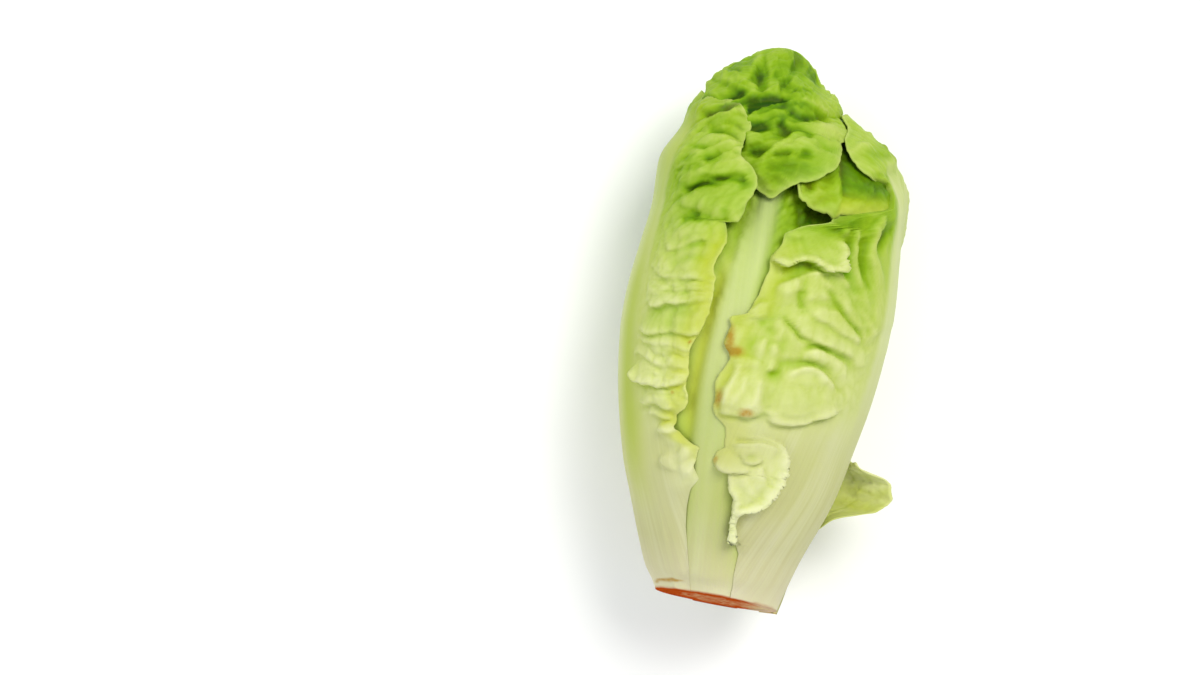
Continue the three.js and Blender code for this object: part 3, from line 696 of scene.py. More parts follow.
def innerLeaf(i):  # i counts from the innermost
    number, outwards = innerLeafCount - i, (i + 1) / innerLeafCount
    midrib = 40 + heart["goldenTurn"] * number
    spread = mix(95, 62, outwards)
    widths = [(0, 24), (50, spread * 0.6), (110, spread), (pole, spread)]
    left, right = ([(along, midrib + sign * width) for along, width in widths] for sign in (-1, 1))
    return {
        "name": f"innerLeaf{number}", "node": f"inner_leaf_{number}", "slot": "inner_leaf",
        "midrib": midrib, "foot": mix(28, 16, outwards), "tip": mix(135, 166, outwards),
        "left": left, "right": right, "share": mix(0.12, 0.66, outwards),
        "ribWidth": mix(7, 13, outwards), "ribThickness": mix(0.8, 1.6, outwards), "ragged": 1.2,
        "seed": 130 + 40 * i, "grid": (84, 35), "veinSlant": [(0, 0.2), (190, 0.5)], "pillows": (9, 6),
        "bladeStart": (40, 90), "puckerHeight": 0.8, "ruffle": 1.2, "settling": 60,
        "green": [(0, 0.06), (60, 0.12), (120, 0.3), (165, 0.5)], "yellow": 0.35,
    }


def makeInnerLeaves():
    made = []
    for i in range(innerLeafCount):
        sheet = bladeSheet(innerLeaf(i))
        puckers(sheet)
        paintLeaf(sheet)
        made.append(sheet.lay())
    return made


middleLeaf = {
    "name": "middleLeaf", "node": "middle_leaf", "slot": "outer_leaf", "midrib": -3, "foot": 0, "tip": 168,
    "left": [(0, -42), (60, -50), (110, -58), (190, -60)], "right": [(0, 30), (60, 44), (110, 52), (190, 56)],
    "inset": (4, 4, 15, 12, 14), "ribWidth": 17, "ribThickness": 2.6, "ragged": 1.2, "seed": 2000,
    "grid": (200, 80), "veinSlant": [(0, 0.3), (100, 0.6), (190, 1.0)], "pillows": (12, 8),
    "bladeStart": (70, 130), "puckerHeight": 1.4, "ruffle": 1.0,
    # its green is kept deeper as painted shade between the two outer leaves
    "green": [(0, 0.06), (10, 0.16), (30, 0.42), (50, 0.44), (100, 0.44), (125, 0.66), (190, 0.76)],
    "yellow": 0.15,
    # the midrib on the front: its middle line as seen from above, its half width, and how pale it is, kept
    # less pale as painted shade between the two outer leaves
    "ribLine": [(-3, 0), (-7, 40), (-8.5, 70), (-5, 100), (-1, 120), (1, 134), (2, 150)],
    "ribHalfWidth": [(0, 9), (60, 5.5), (110, 4.6), (140, 2.5)], "ribHeight": 1.1,
    "ribPaleAndShaded": [(0, 1), (8, 0.97), (25, 0.8), (70, 0.62), (95, 0.72), (115, 0.66), (130, 0.6)],
    "channelDepth": 0.9, "channelYellow": 0.8, "channelPaleness": 0.14,
}
middleDrawing = {
    # a pocket under the hood, with painted shade in it
    "domes": [(-3.4, 17, 128, 8, 6)],
    "shades": [(0.45, 17, 127, 6, 4)],
}


def makeMiddleLeaf():
    leaf = middleLeaf
    sheet = bladeSheet(leaf)
    puckers(sheet)
    fold(sheet, middleDrawing)
    line = curveThrough([(up, right) for right, up in leaf["ribLine"]])(sheet.seen[..., 1])
    offRib = sheet.seen[..., 0] - line
    halfWidth = straightThrough(leaf["ribHalfWidth"], sheet.along)
    band = np.exp(-((offRib / halfWidth) ** 4))
    besideRib = leaf["channelDepth"] * hill(offRib + halfWidth, -2.5, 2.2)
    sheet.relief = sheet.relief * (1 - band) + band * leaf["ribHeight"] - besideRib
    paintLeaf(sheet)
    paleAndShaded = straightThrough(leaf["ribPaleAndShaded"], sheet.along)
    sheet.paint["rib"] = paleAndShaded * np.exp(-((offRib / (halfWidth * 1.15)) ** 4))
    channel = hill(offRib + halfWidth, -2, 3) * smoothStep(40, 65, sheet.along)
    yellow = leaf["channelYellow"] * channel * (1 - smoothStep(95, 118, sheet.along))
    sheet.paint["yellow"] = np.maximum(sheet.paint["yellow"], yellow)
    sheet.paint["green"] -= leaf["channelPaleness"] * channel
    return sheet.lay()


innerHoodLeaf = {
    "name": "innerHoodLeaf", "node": "inner_hood_leaf", "slot": "outer_leaf",
    "midrib": 150, "foot": 14, "tip": 190,
    "edge": [(-210, 14), (-195, 14), (-180, 18), (-165, 45), (-145, 85), (-120, 118), (-70, 134), (-15, 139),
        (8, 141), (62, 127), (82, 118), (100, 80), (115, 38), (126, 14), (150, 14)],
    "margin": [(10.2, 141), (11.4, 134), (12.4, 132.6), (13.4, 132.8), (14.6, 131), (17, 130), (19.5, 130),
        (20.5, 129.4), (21.5, 130.4), (22.3, 128), (23.5, 127.6), (24.6, 129.6), (27, 129.4), (30, 129.8),
        (33, 130.4), (36, 130.6)],
    "inset": (8, 4.5, 13, 3.5, 5.5), "ribWidth": 16, "ribThickness": 1.4, "ragged": 0.8, "seed": 3000,
    "grid": (90, 240), "veinSlant": [(0, 0.3), (190, 0.6)], "pillows": (14, 9, 10), "bladeStart": (60, 120),
    "puckerHeight": 1.2, "ruffle": 1.6,
    "green": [(0, 0.1), (90, 0.35), (125, 0.62), (150, 0.72), (190, 0.72)], "yellow": 0.3,
    "lobe": 0.9, "lobeGreen": (0.5, 0.86), "lobeYellow": (0.95, 0.05), "lobeTopShade": 0.14,
}
hoodDrawing = {
    "ledges": [
        (0.9, 7, [(20.6, 127), (21, 133), (20.4, 139), (19, 146)]),
    ],
    "creases": [
        (1.0, 1.6, [(17, 141), (17.5, 135), (16.5, 130.5)]),
    ],
    "domes": [
        (2.9, 29, 137, 16, 15), (-2, 12.2, 136, 1.4, 2),
    ],
    "shades": [
        (0.5, 22.8, 147, 1.8, 4), (0.5, 12.2, 136, 1, 1.8), (-0.12, 16, 135, 4, 4), (0.2, 29, 135, 8, 8),
        (0.3, 19, 143, 3, 4), (0.3, 21.4, 137, 0.8, 8), (0.1, 27.6, 137, 1.2, 4), (0.08, 31.6, 134, 1, 4),
    ],
}


def makeInnerHoodLeaf():
    leaf = innerHoodLeaf
    sheet = hoodSheet(leaf)
    puckers(sheet)
    fold(sheet, hoodDrawing)
    paintLeaf(sheet)
    # On the hood's right lobe: yellow-green at its lower edge and deeper green higher up; the extra green at
    # its top is painted shade in the pocket between the crown and the right leaf.
    right, up = sheet.seen[..., 0], sheet.seen[..., 1]
    lobe = leaf["lobe"] * smoothStep(20.4, 21.8, right) * smoothStep(118, 126, up) * sheet.front
    green = mix(*leaf["lobeGreen"], smoothStep(130.5, 137.5, up))
    green = green + leaf["lobeTopShade"] * smoothStep(142, 148, up)
    yellow = mix(*leaf["lobeYellow"], smoothStep(130.5, 137, up))
    sheet.paint["green"] = mix(sheet.paint["green"], green, lobe)
    sheet.paint["yellow"] = mix(sheet.paint["yellow"], yellow, lobe)
    return sheet.lay()


crownLeaf = {
    "name": "crownLeaf", "node": "crown_leaf", "slot": "outer_leaf", "midrib": 180, "foot": 0, "tip": 190,
    "edge": [(-180, 0), (-158, 0), (-142, 20), (-130, 60), (-112, 100), (-80, 128), (-40, 135), (-12, 133),
        (6, 133), (22, 135), (38, 142), (54, 149), (70, 154), (88, 146), (106, 118), (124, 82), (138, 46),
        (150, 14), (158, 0), (180, 0)],
    "margin": [(-9, 137), (-4.5, 135.6), (-2, 134.7), (0, 133.8), (3, 134), (6, 135.5), (9, 136.5),
        (12, 137.8), (15, 139.5), (18, 142.5), (20.5, 143.6), (21.6, 147), (21.4, 150.5), (23, 153.5)],
    "inset": (4, 0, 10.5, 6, 2.5), "droop": 1.5, "ribWidth": 30, "ribThickness": 3, "ragged": 1.2,
    "seed": 5000, "grid": (140, 310), "veinSlant": [(0, 0.3), (190, 0.8)], "pillows": (19, 11, 14),
    "bladeStart": (30, 80), "puckerHeight": 2.0, "frontPuckers": 0.5, "crumple": 0.9, "blisters": 0.6,
    "ruffle": 1.4, "shadeContrast": 1.05,
    "green": [(0, 0.05), (50, 0.14), (100, 0.42), (130, 0.52), (146, 0.52), (158, 0.62), (172, 0.56),
        (190, 0.6)],
    "yellow": 0.1, "standing": (-4.6, 80, 167, 36, 6),
}
crownDrawing = {
    "pillows": [
        (1.3, 4, (0.2, 1), [(-4, 142), (-0.5, 144), (2, 147), (5, 149), (9, 149.8), (12, 148.6), (15, 146),
            (19, 146), (21.5, 147), (20.5, 143), (17, 140), (12, 137), (6, 135), (0, 133), (-4, 136),
            (-6, 139)]),
        (2.6, 4, (-0.3, -1), [(5, 151), (10, 151), (15, 149), (20, 148), (23, 151), (23, 156), (20, 160),
            (15, 158), (10, 156), (6, 154.5), (2, 154.6)]),
        (2.6, 5, (0, -1), [(3, 161), (9, 160.5), (15, 158.6), (20, 159), (20, 164), (16, 168), (11, 168.4),
            (6, 170), (0, 170), (-4, 167), (-6, 164.4), (-2, 163.6), (1, 163.4)]),
        (2.0, 3, (0, -1), [(-8, 156.3), (-4, 158), (0, 159.6), (4, 160), (4, 157.6), (0, 155.4), (-4, 154),
            (-8, 154)]),
        (2.2, 3, (0.3, -1), [(-24, 163), (-20, 164.8), (-15, 164.6), (-11, 165.6), (-9.4, 168), (-10, 172),
            (-15, 171), (-20, 169), (-24, 167)]),
        (1.4, 2, (0.5, 1), [(-4.4, 166), (-4.2, 171), (-6, 174), (-3, 175.6), (1, 174.2), (3, 171),
            (0, 167)]),
        (1.6, 3, (0, 1), [(-18, 171), (-12, 172), (-10, 174), (-12, 177), (-16, 176), (-20, 173)]),
        (1.2, 2, (0, -1), [(6, 172.6), (9, 171.8), (13, 170.2), (14, 172), (13, 175), (9, 176.4),
            (5, 176)]),
    ],
    "ledges": [
        (1.6, 5, [(-24, 155), (-18, 156), (-12, 158.6), (-9, 161.6), (-7, 164)]),
        (1.4, 4, [(6, 161), (10, 159.6), (16, 158)]),
        (1.2, 4, [(3, 164.6), (6, 166), (10, 165.4)]),
    ],
    "creases": [
        (3.0, 1.4, [(-9.4, 156.8), (-5, 159.4), (-1, 161.8), (2, 162.6)]),
        (2.4, 1.5, [(-12, 164), (-13, 161.4), (-17, 158.4), (-23, 155.8)]),
        (1.6, 1.2, [(2, 158.6), (7, 156.8), (12, 156.6), (17, 155.8)]),
        (0.9, 1.0, [(-22, 172), (-17, 169.4), (-12, 169)]),
        (1.2, 1.0, [(-3, 170.6), (0, 168.4), (4, 167.8)]),
        (-1.2, 1.0, [(4, 150), (9, 150.4), (14, 148.6), (18.6, 146.6)]),
        (1.6, 1.2, [(0, 154.6), (3, 152.4), (8, 150.8), (12, 149.6)]),
        (1.4, 1.0, [(-0.6, 166.4), (2, 166.6), (5, 165)]),
        (1.2, 0.8, [(7, 171.8), (10, 170), (14, 168.8)]),
        (1.0, 0.8, [(2.6, 173.6), (4, 173), (6, 174)]),
        (1.2, 1.0, [(0.5, 144.6), (3, 143.6), (6, 143)]),
        (-1.1, 0.9, [(-8, 156.4), (-3, 158.4), (1, 160.2), (5, 161.2)]),
        (-1.0, 0.8, [(-9, 167), (-9, 171), (-7.6, 174.6), (-3, 176), (1, 174.4), (4, 172)]),
        (-1.0, 0.8, [(-16, 164.6), (-13, 164.4), (-10.6, 165.6), (-7, 165.2)]),
        (-0.8, 0.8, [(-4, 142), (-0.5, 144.2), (2, 147.2), (6, 149.4), (10, 149.6)]),
    ],
    "domes": [
        (-3.2, -6.6, 169, 2.6, 4), (-2.0, -4, 152.4, 3, 1.8), (-2.6, -3.6, 145, 3.6, 2.4),
        (-3.4, -9.4, 148, 2, 3.6), (-1.4, 2, 150.4, 2.8, 1.6), (1.3, 9, 146.6, 3.6, 2.2),
        (-1.2, 9.4, 143.6, 2.2, 1.4), (1.2, -5, 149, 2.6, 2), (1.6, 13.4, 174.6, 1.3, 1.1),
        (-2.0, 4, 174, 1.2, 0.8), (1.4, -22, 165.4, 2, 2.4),
    ],
    "shades": [
        (0.6, -4, 160, 5, 2.2), (0.5, 0, 161.6, 3, 1.8), (0.28, -13, 161, 2.2, 2.4),
        (0.24, -19, 157.4, 4, 1), (0.3, -4, 152.4, 2.4, 1.2), (0.3, -3.6, 145, 2.6, 1.8),
        (0.6, -9.4, 148, 1.3, 3), (0.2, -7, 169, 1.8, 2.6), (0.16, 9, 156.8, 4, 0.9),
        (0.12, 2, 150.6, 2.4, 1), (0.16, 10, 170.2, 3, 0.7), (-0.26, 15.6, 152.4, 6, 4),
        (-0.1, 15, 163, 5, 6), (0.26, 5, 139.5, 8, 3.4), (-0.12, 6, 147, 5, 2), (0.16, 3.6, 144, 3, 0.9),
        (0.14, 9.5, 143.6, 1.6, 1.2), (0.14, -14, 171, 6, 4), (0.08, 8, 165, 6, 3), (0.14, 2, 172, 6, 3),
    ],
}


def makeCrownLeaf():
    sheet = hoodSheet(crownLeaf)
    sheet.spread = standing(sheet, *crownLeaf["standing"])
    puckers(sheet)
    fold(sheet, crownDrawing)
    paintLeaf(sheet)
    return sheet.lay()


rightLeaf = {
    "name": "rightLeaf", "node": "right_leaf", "slot": "outer_leaf", "midrib": 80, "foot": 0, "tip": 166,
    "left": [(0, 8), (34, 4), (66, -9), (88, -11), (104, 0), (120, 12), (134, 50), (150, 56), (190, 56)],
    "right": [(0, 142), (40, 134), (60, 132), (110, 135), (190, 130)],
    "leftMargin": [(4, 3), (4, 10), (4.8, 17), (3.2, 20.4), (0.3, 20.6), (1, 26), (0.8, 32), (1.3, 34.5),
        (-0.6, 37), (-1.6, 42.6), (-5, 43), (-7, 46), (-6.4, 49), (-4, 50.5), (-4, 54), (-5, 57), (-8, 60),
        (-9, 63.5), (-8, 70), (-6.8, 76), (-6.2, 79), (-9, 84), (-7, 90), (-8, 92.5), (-3, 94), (-1, 97),
        (1, 101), (3, 105), (4.4, 109), (4, 113), (5.3, 117), (6, 121), (11, 123.5), (14, 125), (19, 125.6),
        (22, 126.6), (25, 129), (29, 130.6), (33, 131.6), (36, 132.8), (35.8, 136.8), (34.8, 139.2),
        (32.4, 140.4), (30, 140.8), (27.6, 142), (24.6, 145.5), (22.6, 149.4), (21.4, 152), (21.6, 156)],
    "inset": (1.4, 0, 0.5, 1.5, 3), "droop": 4, "ribThickness": 3, "ribBehind": 0.6,
    "ribCurve": [(0, 14), (100, 12), (128, 10), (140, 7.5), (149, 3.5), (156, 1), (166, 0.6)],
    "ribEnd": (138, 152), "ragged": 1.2, "seed": 4000, "grid": (300, 158), "rounding": (0.93, 0.5),
    "tipTear": 0.3,
    "veinSlant": [(0, 0.2), (60, 0.3), (80, 0.5), (100, 0.9), (130, 1.3), (190, 1.5)], "pillows": (13, 8),
    "bladeStart": (52, 74), "puckerHeight": 1.3, "frontPuckers": 0.3, "crumple": 0.5, "blisters": 0.4,
    "ruffle": 1.6,
    "green": [(0, 0.04), (55, 0.07), (64, 0.15), (85, 0.26), (104, 0.33), (116, 0.45), (128, 0.6), (145, 0.5),
        (190, 0.5)],
    "yellow": 0.1, "standing": (1.7, 84, 140, 26, 9),
    "cornerDepth": 3.4, "topSmoothing": 0.7, "topFlush": 0.9, "flapGreen": 0.12, "frillYellow": 0.55,
    "bruises": [(-6.2, 85.5, 1.5, 4.2), (-7.4, 66, 1.4, 2.8), (-4, 81.5, 2.4, 1.6), (2, 62.5, 2.2, 0.8),
        (-6, 46, 0.8, 1.2)],
}
rightDrawing = {
    "pillows": [
        (1.6, 7, (-0.8, -0.5), [(7.5, 61.6), (11, 60.3), (14.5, 60.4), (18, 60.9), (21, 62), (24, 63.4),
            (28, 66), (30.6, 70), (29.6, 73), (27.5, 75.4), (24.5, 77.6), (21, 79.4), (18, 79.8),
            (15, 78.4), (12.6, 74.5), (10.4, 70.5), (9, 66.5)]),
        (2.4, 2, (-0.3, -1), [(-7, 62), (-4, 61.5), (-0.8, 63), (1.5, 61.8), (4, 62.6), (7.2, 63.2),
            (6.6, 68), (6, 73), (5, 77), (0, 78.5), (-3, 77), (-5.6, 71), (-8.4, 66)]),
        (1.5, 2, (-0.3, 1), [(5.6, 100.5), (6.4, 98), (9, 97.2), (12.6, 98.4), (14, 101.5), (14.6, 105),
            (13.4, 107.2), (10, 106.6), (7, 104.6)]),
        (1.2, 1.4, (-0.3, 1), [(16.5, 81.8), (19, 81.6), (23, 81), (28, 79), (33, 75.6), (34, 78),
            (31, 81.6), (27, 83.8), (22.5, 85.4), (19, 85.4), (17, 84)]),
        (1.0, 1.4, (0.2, 1), [(13.4, 92.6), (18, 89), (21, 87.4), (26, 86.8), (31, 84.4), (35, 80.5),
            (36.4, 85), (33.5, 89.5), (31, 92.8), (28, 96), (24, 98.4), (20, 99.6), (17, 98), (14, 95.4)]),
        (1.2, 2, (0, 1), [(6.6, 88), (8, 86.4), (12, 85), (15.6, 84), (17.4, 85.6), (17.6, 88),
            (14.8, 90.6), (11, 93.6), (8, 95), (6.4, 92)]),
        (1.1, 1.4, (-0.3, 1), [(16, 101), (20, 101), (24, 99.8), (28, 97), (31.6, 93.2), (35.8, 87.5),
            (36.6, 90), (33.6, 95.5), (30, 100), (26, 104), (22.5, 107.6), (19.6, 109.6), (16.6, 108.6),
            (15.2, 104.4)]),
        (1.0, 1.2, (-0.3, 1), [(23.6, 109.8), (27, 106.4), (31, 101.8), (34.6, 96.5), (37.4, 90.5),
            (38.8, 94), (37.4, 99), (33.6, 104), (30.4, 109), (27, 111)]),
        (1.7, 1.2, (-0.6, 1), [(33.2, 117), (36, 111.6), (38, 107), (38.4, 102), (40.4, 103), (40.6, 110),
            (38.8, 115), (36.8, 120), (36.6, 126), (35.6, 131), (33.8, 127), (34.4, 121.4)]),
        (1.1, 1.0, (0, 1), [(29.2, 116), (30.4, 110), (32.4, 105), (34.6, 101), (34.6, 106), (32.4, 112),
            (31.4, 118), (30.6, 124), (28.6, 126), (28.8, 120)]),
        (1.5, 2.4, (-0.4, -1), [(23.4, 156), (22.6, 152.5), (24, 149), (26.6, 144.4), (29.5, 142),
            (33, 141.6), (35, 143.5), (34.6, 146.5), (31.6, 150), (29, 153), (26.6, 156)]),
        (1.3, 1.6, (0, 1), [(1, 81), (0.8, 84), (3, 86.6), (5.6, 87.2), (6, 84), (5, 80.6), (3, 79.8)]),
        (1.3, 1.4, (0, 1), [(6.6, 81.4), (6.8, 85), (8.8, 86), (10.8, 83.8), (9.6, 81.4)]),
        (1.5, 1.2, (0, -1), [(6.2, 77.6), (7.4, 76.4), (9.6, 76.6), (10.6, 78.6), (9.4, 80.6),
            (7.2, 80.6)]),
        (1.2, 1.6, (0, 1), [(-4.6, 75.6), (-4.6, 79), (-1, 80.4), (3.4, 79.4), (4.4, 76.6), (0.6, 75.2)]),
        (1.4, 2.0, (-1, 0), [(-8.6, 84), (-7, 88.6), (-4, 90), (-1, 88), (0, 84.6), (-2, 81.6),
            (-5.6, 80)]),
        (1.1, 1.8, (0, 1), [(-5.6, 91.6), (-2, 90.6), (3, 91.2), (5.4, 94), (3, 97.2), (-1, 96.4),
            (-4, 94)]),
    ],
    "ledges": [
        (1.7, 8, [(7.5, 61.8), (10, 60.4), (14, 60.6), (18, 61.4), (22, 62.8), (27, 65), (33, 67.6)]),
        (0.6, 6, [(33, 69), (30, 73), (27, 76.3), (23, 78.9), (19, 80), (15, 79), (12, 75.6), (10, 71)]),
        (1.0, 4, [(33, 77.6), (31, 80.8), (28, 83.8), (24, 85.2), (20, 85.4), (17.6, 84)]),
        (1.2, 6, [(8.5, 95), (13, 92.6), (18, 89), (23, 87.2), (28, 86), (33, 82.6), (35.5, 79.5)]),
        (0.9, 6, [(13.4, 103.6), (16, 99), (20, 95), (25, 92.5), (30, 90.6), (35, 86.5)]),
        (1.2, 6, [(19, 107), (24, 103.5), (28, 99.5), (32, 94.5), (35.8, 88)]),
        (1.0, 6, [(26, 108), (30, 104), (34, 98), (37.4, 91)]),
        (1.2, 6, [(30, 107.4), (25, 109), (20, 109.8), (15, 108.6), (10, 106.4), (5.5, 103)]),
        (1.4, 4, [(-8, 61.6), (-4, 61), (0, 61.8), (3, 61.4), (6.8, 62.4)]),
        (1.6, 3.5, [(-6.8, 45), (-3.4, 43), (1, 43.4), (5.5, 44.2)]),
        (1.5, 3, [(0.8, 50), (2.4, 47.4), (5, 46.6), (8, 48.4)]),
        (1.4, 3, [(13.6, 51.8), (10, 53.2), (4, 53), (-1.6, 52.6)]),
        (1.2, 3.5, [(12.4, 38.5), (9.6, 42), (8, 46)]),
        (1.0, 3, [(8.4, 34.6), (6, 38.5), (3.6, 43)]),
        (1.4, 5, [(6, 122.5), (12, 124.6), (18, 125.5)]),
        (1.0, 3, [(5, 98), (2, 97.4), (-1, 95)]),
        (0.9, 3, [(34, 143), (31, 146.5), (28, 149), (24, 151)]),
        (1.0, 2.5, [(32, 141.6), (29, 144), (26, 147)]),
        (1.0, 3, [(33, 149), (30, 151.6), (26, 154)]),
    ],
    "creases": [
        (1.5, 1.3, [(7.2, 73), (8.6, 76.6), (12, 79.8), (17, 80.9), (22, 80.6), (28, 77.8)]),
        (0.9, 0.9, [(18, 86.6), (22, 86.2), (27, 84.8), (32, 81.4)]),
        (1.0, 0.8, [(9, 95.4), (13, 92.4), (17, 89), (19.6, 87.4)]),
        (1.4, 1.1, [(22.6, 104.6), (27, 99.8), (31, 96), (34.4, 90.5)]),
        (1.2, 1.0, [(28, 109), (32, 103), (36, 98), (38, 93)]),
        (2.0, 1.5, [(28.2, 124), (27.6, 116), (29.4, 109), (32.4, 104)]),
        (1.8, 1.4, [(33, 124), (32, 117), (33.6, 111), (36.4, 106)]),
        (1.6, 1.2, [(14.4, 104), (14.8, 101), (15.4, 98)]),
        (2.4, 1.7, [(7, 110), (12, 111.4), (17.6, 111.8)]),
        (-0.8, 0.8, [(13, 75.6), (15, 78), (18, 79.2), (21.4, 78.8), (25, 76.4), (28.5, 73.4)]),
        (-0.8, 0.9, [(24, 98.4), (28, 96), (31, 92.6), (34, 88)]),
        (-0.6, 0.8, [(16.6, 88.8), (19, 87.8), (24, 87), (30, 84.6)]),
        (-1.0, 0.9, [(14.4, 108), (19, 109.6), (24, 110.4), (28, 110)]),
        (-1.0, 0.9, [(-6.4, 63), (-5, 68), (-3, 74), (-2.4, 78)]),
        (-0.9, 1.0, [(-3.4, 63.4), (-1.4, 68.6), (0.4, 74.6)]),
        (-0.7, 0.9, [(3, 64), (4.4, 69), (4.6, 74)]),
        (0.8, 0.8, [(10.8, 63.8), (14, 63), (19, 63.4), (24, 65.4)]),
    ],
    "domes": [
        (-2.4, 38, 123.4, 1.7, 5), (-1.2, 9.4, 75.6, 2, 2.8), (-2.0, 3.6, 49, 2.4, 1.3),
        (1.2, 25.5, 124.5, 2.2, 2.2), (1.0, 22, 126, 1.8, 1.8), (1.0, 25, 119.6, 2, 2),
        (1.2, 8.6, 63.6, 1.8, 1.4), (-1.2, 6.4, 90, 2, 1.6), (-1.4, 3.6, 92.4, 1.4, 1.4),
        (1.0, 11, 121.4, 3, 2),
    ],
    "shades": [
        (0.1, 8.6, 75, 1.6, 2.6), (0.08, 13, 79.6, 3.4, 1), (0.06, 22, 80.6, 5, 0.8),
        (0.06, 24, 85.8, 5, 0.8), (0.14, 12, 87, 3, 3), (0.2, 0, 85, 1.4, 4), (0.18, 4, 92.4, 1.6, 1.8),
        (0.3, 4, 49, 1.8, 1.2), (0.22, 13, 111.6, 5, 1.2), (0.12, 11, 109, 5, 1.4),
        (0.36, 38, 123.6, 1.2, 4), (0.2, 28.4, 113, 1.2, 6), (0.2, 33.4, 112, 1.4, 6),
        (0.2, 36, 105, 1.4, 3), (0.24, 22, 124, 3.4, 2), (0.14, 29, 128, 3, 3), (0.35, 25, 125.4, 5, 2),
        (0.2, 30, 147, 2, 2), (-0.1, 26, 152, 2, 3), (0.2, -2, 60.4, 5, 1), (0.08, 20, 70, 9, 7),
        (0.16, 4, 62.4, 3, 0.8), (0.12, 9, 121, 4, 2),
    ],
}
# What is folded over and lies on the leaf: its height, the way to its free side and its outline.
rightFlaps = {
    "curl": (3.2, (0.6, -0.8), [(-1.5, 42.6), (-0.8, 37.5), (1.4, 34.6), (1, 30), (0.4, 20.6), (3, 21.6),
        (2.5, 27), (3.6, 30), (8, 32.5), (13, 37), (15.6, 41), (16.7, 46), (16.4, 50), (14.4, 53.4),
        (11, 55), (5, 55.5), (-3, 55.5), (-4.4, 53), (-6.6, 48.5), (-6.6, 44.4)]),
    "tongue": (3.4, (0.25, -0.97), [(4.2, 113), (8, 111.2), (11, 112.5), (14, 113.3), (18, 112.4),
        (20, 111), (24, 111.4), (26.7, 112), (26, 115), (26.8, 118.5), (24.5, 121), (20, 121.9), (14, 120),
        (9, 118), (5.5, 116.2)]),
}


def makeRightLeaf():
    leaf = rightLeaf
    sheet = bladeSheet(leaf)
    sheet.spread = standing(sheet, *leaf["standing"])
    right, up = sheet.seen[..., 0], sheet.seen[..., 1]
    corner = smoothStep(21, 25, right) * smoothStep(123.5, 127, up) * (1 - smoothStep(139, 142, up))
    corner = corner * sheet.front
    sheet.tucked = leaf["cornerDepth"] * corner * (1 - smoothStep(0.5, 5, sheet.edge)) + dipped(sheet)
    puckers(sheet)
    top = smoothStep(132, 145, sheet.along) * smoothStep(60, 72, sheet.turn)
    sheet.relief *= 1 - leaf["topSmoothing"] * top
    fold(sheet, rightDrawing)
    paintLeaf(sheet)
    for height, free, outline in rightFlaps.values():
        near, inside = flap(sheet, height, free, outline)
        sheet.blade[near] = np.maximum(sheet.blade[near], inside)
        sheet.paint["green"][near] = np.maximum(sheet.paint["green"][near], leaf["flapGreen"] * inside)
        sheet.paint["rib"][near] *= 1 - inside
    flush = leaf["topFlush"] * smoothStep(139, 144, sheet.along)
    sheet.freed = 1 - flush * (1 - smoothStep(0, 6, sheet.edge))
    frill = (1 - smoothStep(3, 13, sheet.edge)) * smoothStep(40, 50, sheet.along)
    frill = frill * (1 - smoothStep(108, 125, sheet.along)) * sheet.front * (sheet.aside < 0)
    sheet.paint["yellow"] = np.maximum(sheet.paint["yellow"], leaf["frillYellow"] * frill)
    sheet.paint["bruise"] = bruises(sheet)
    return sheet.lay()


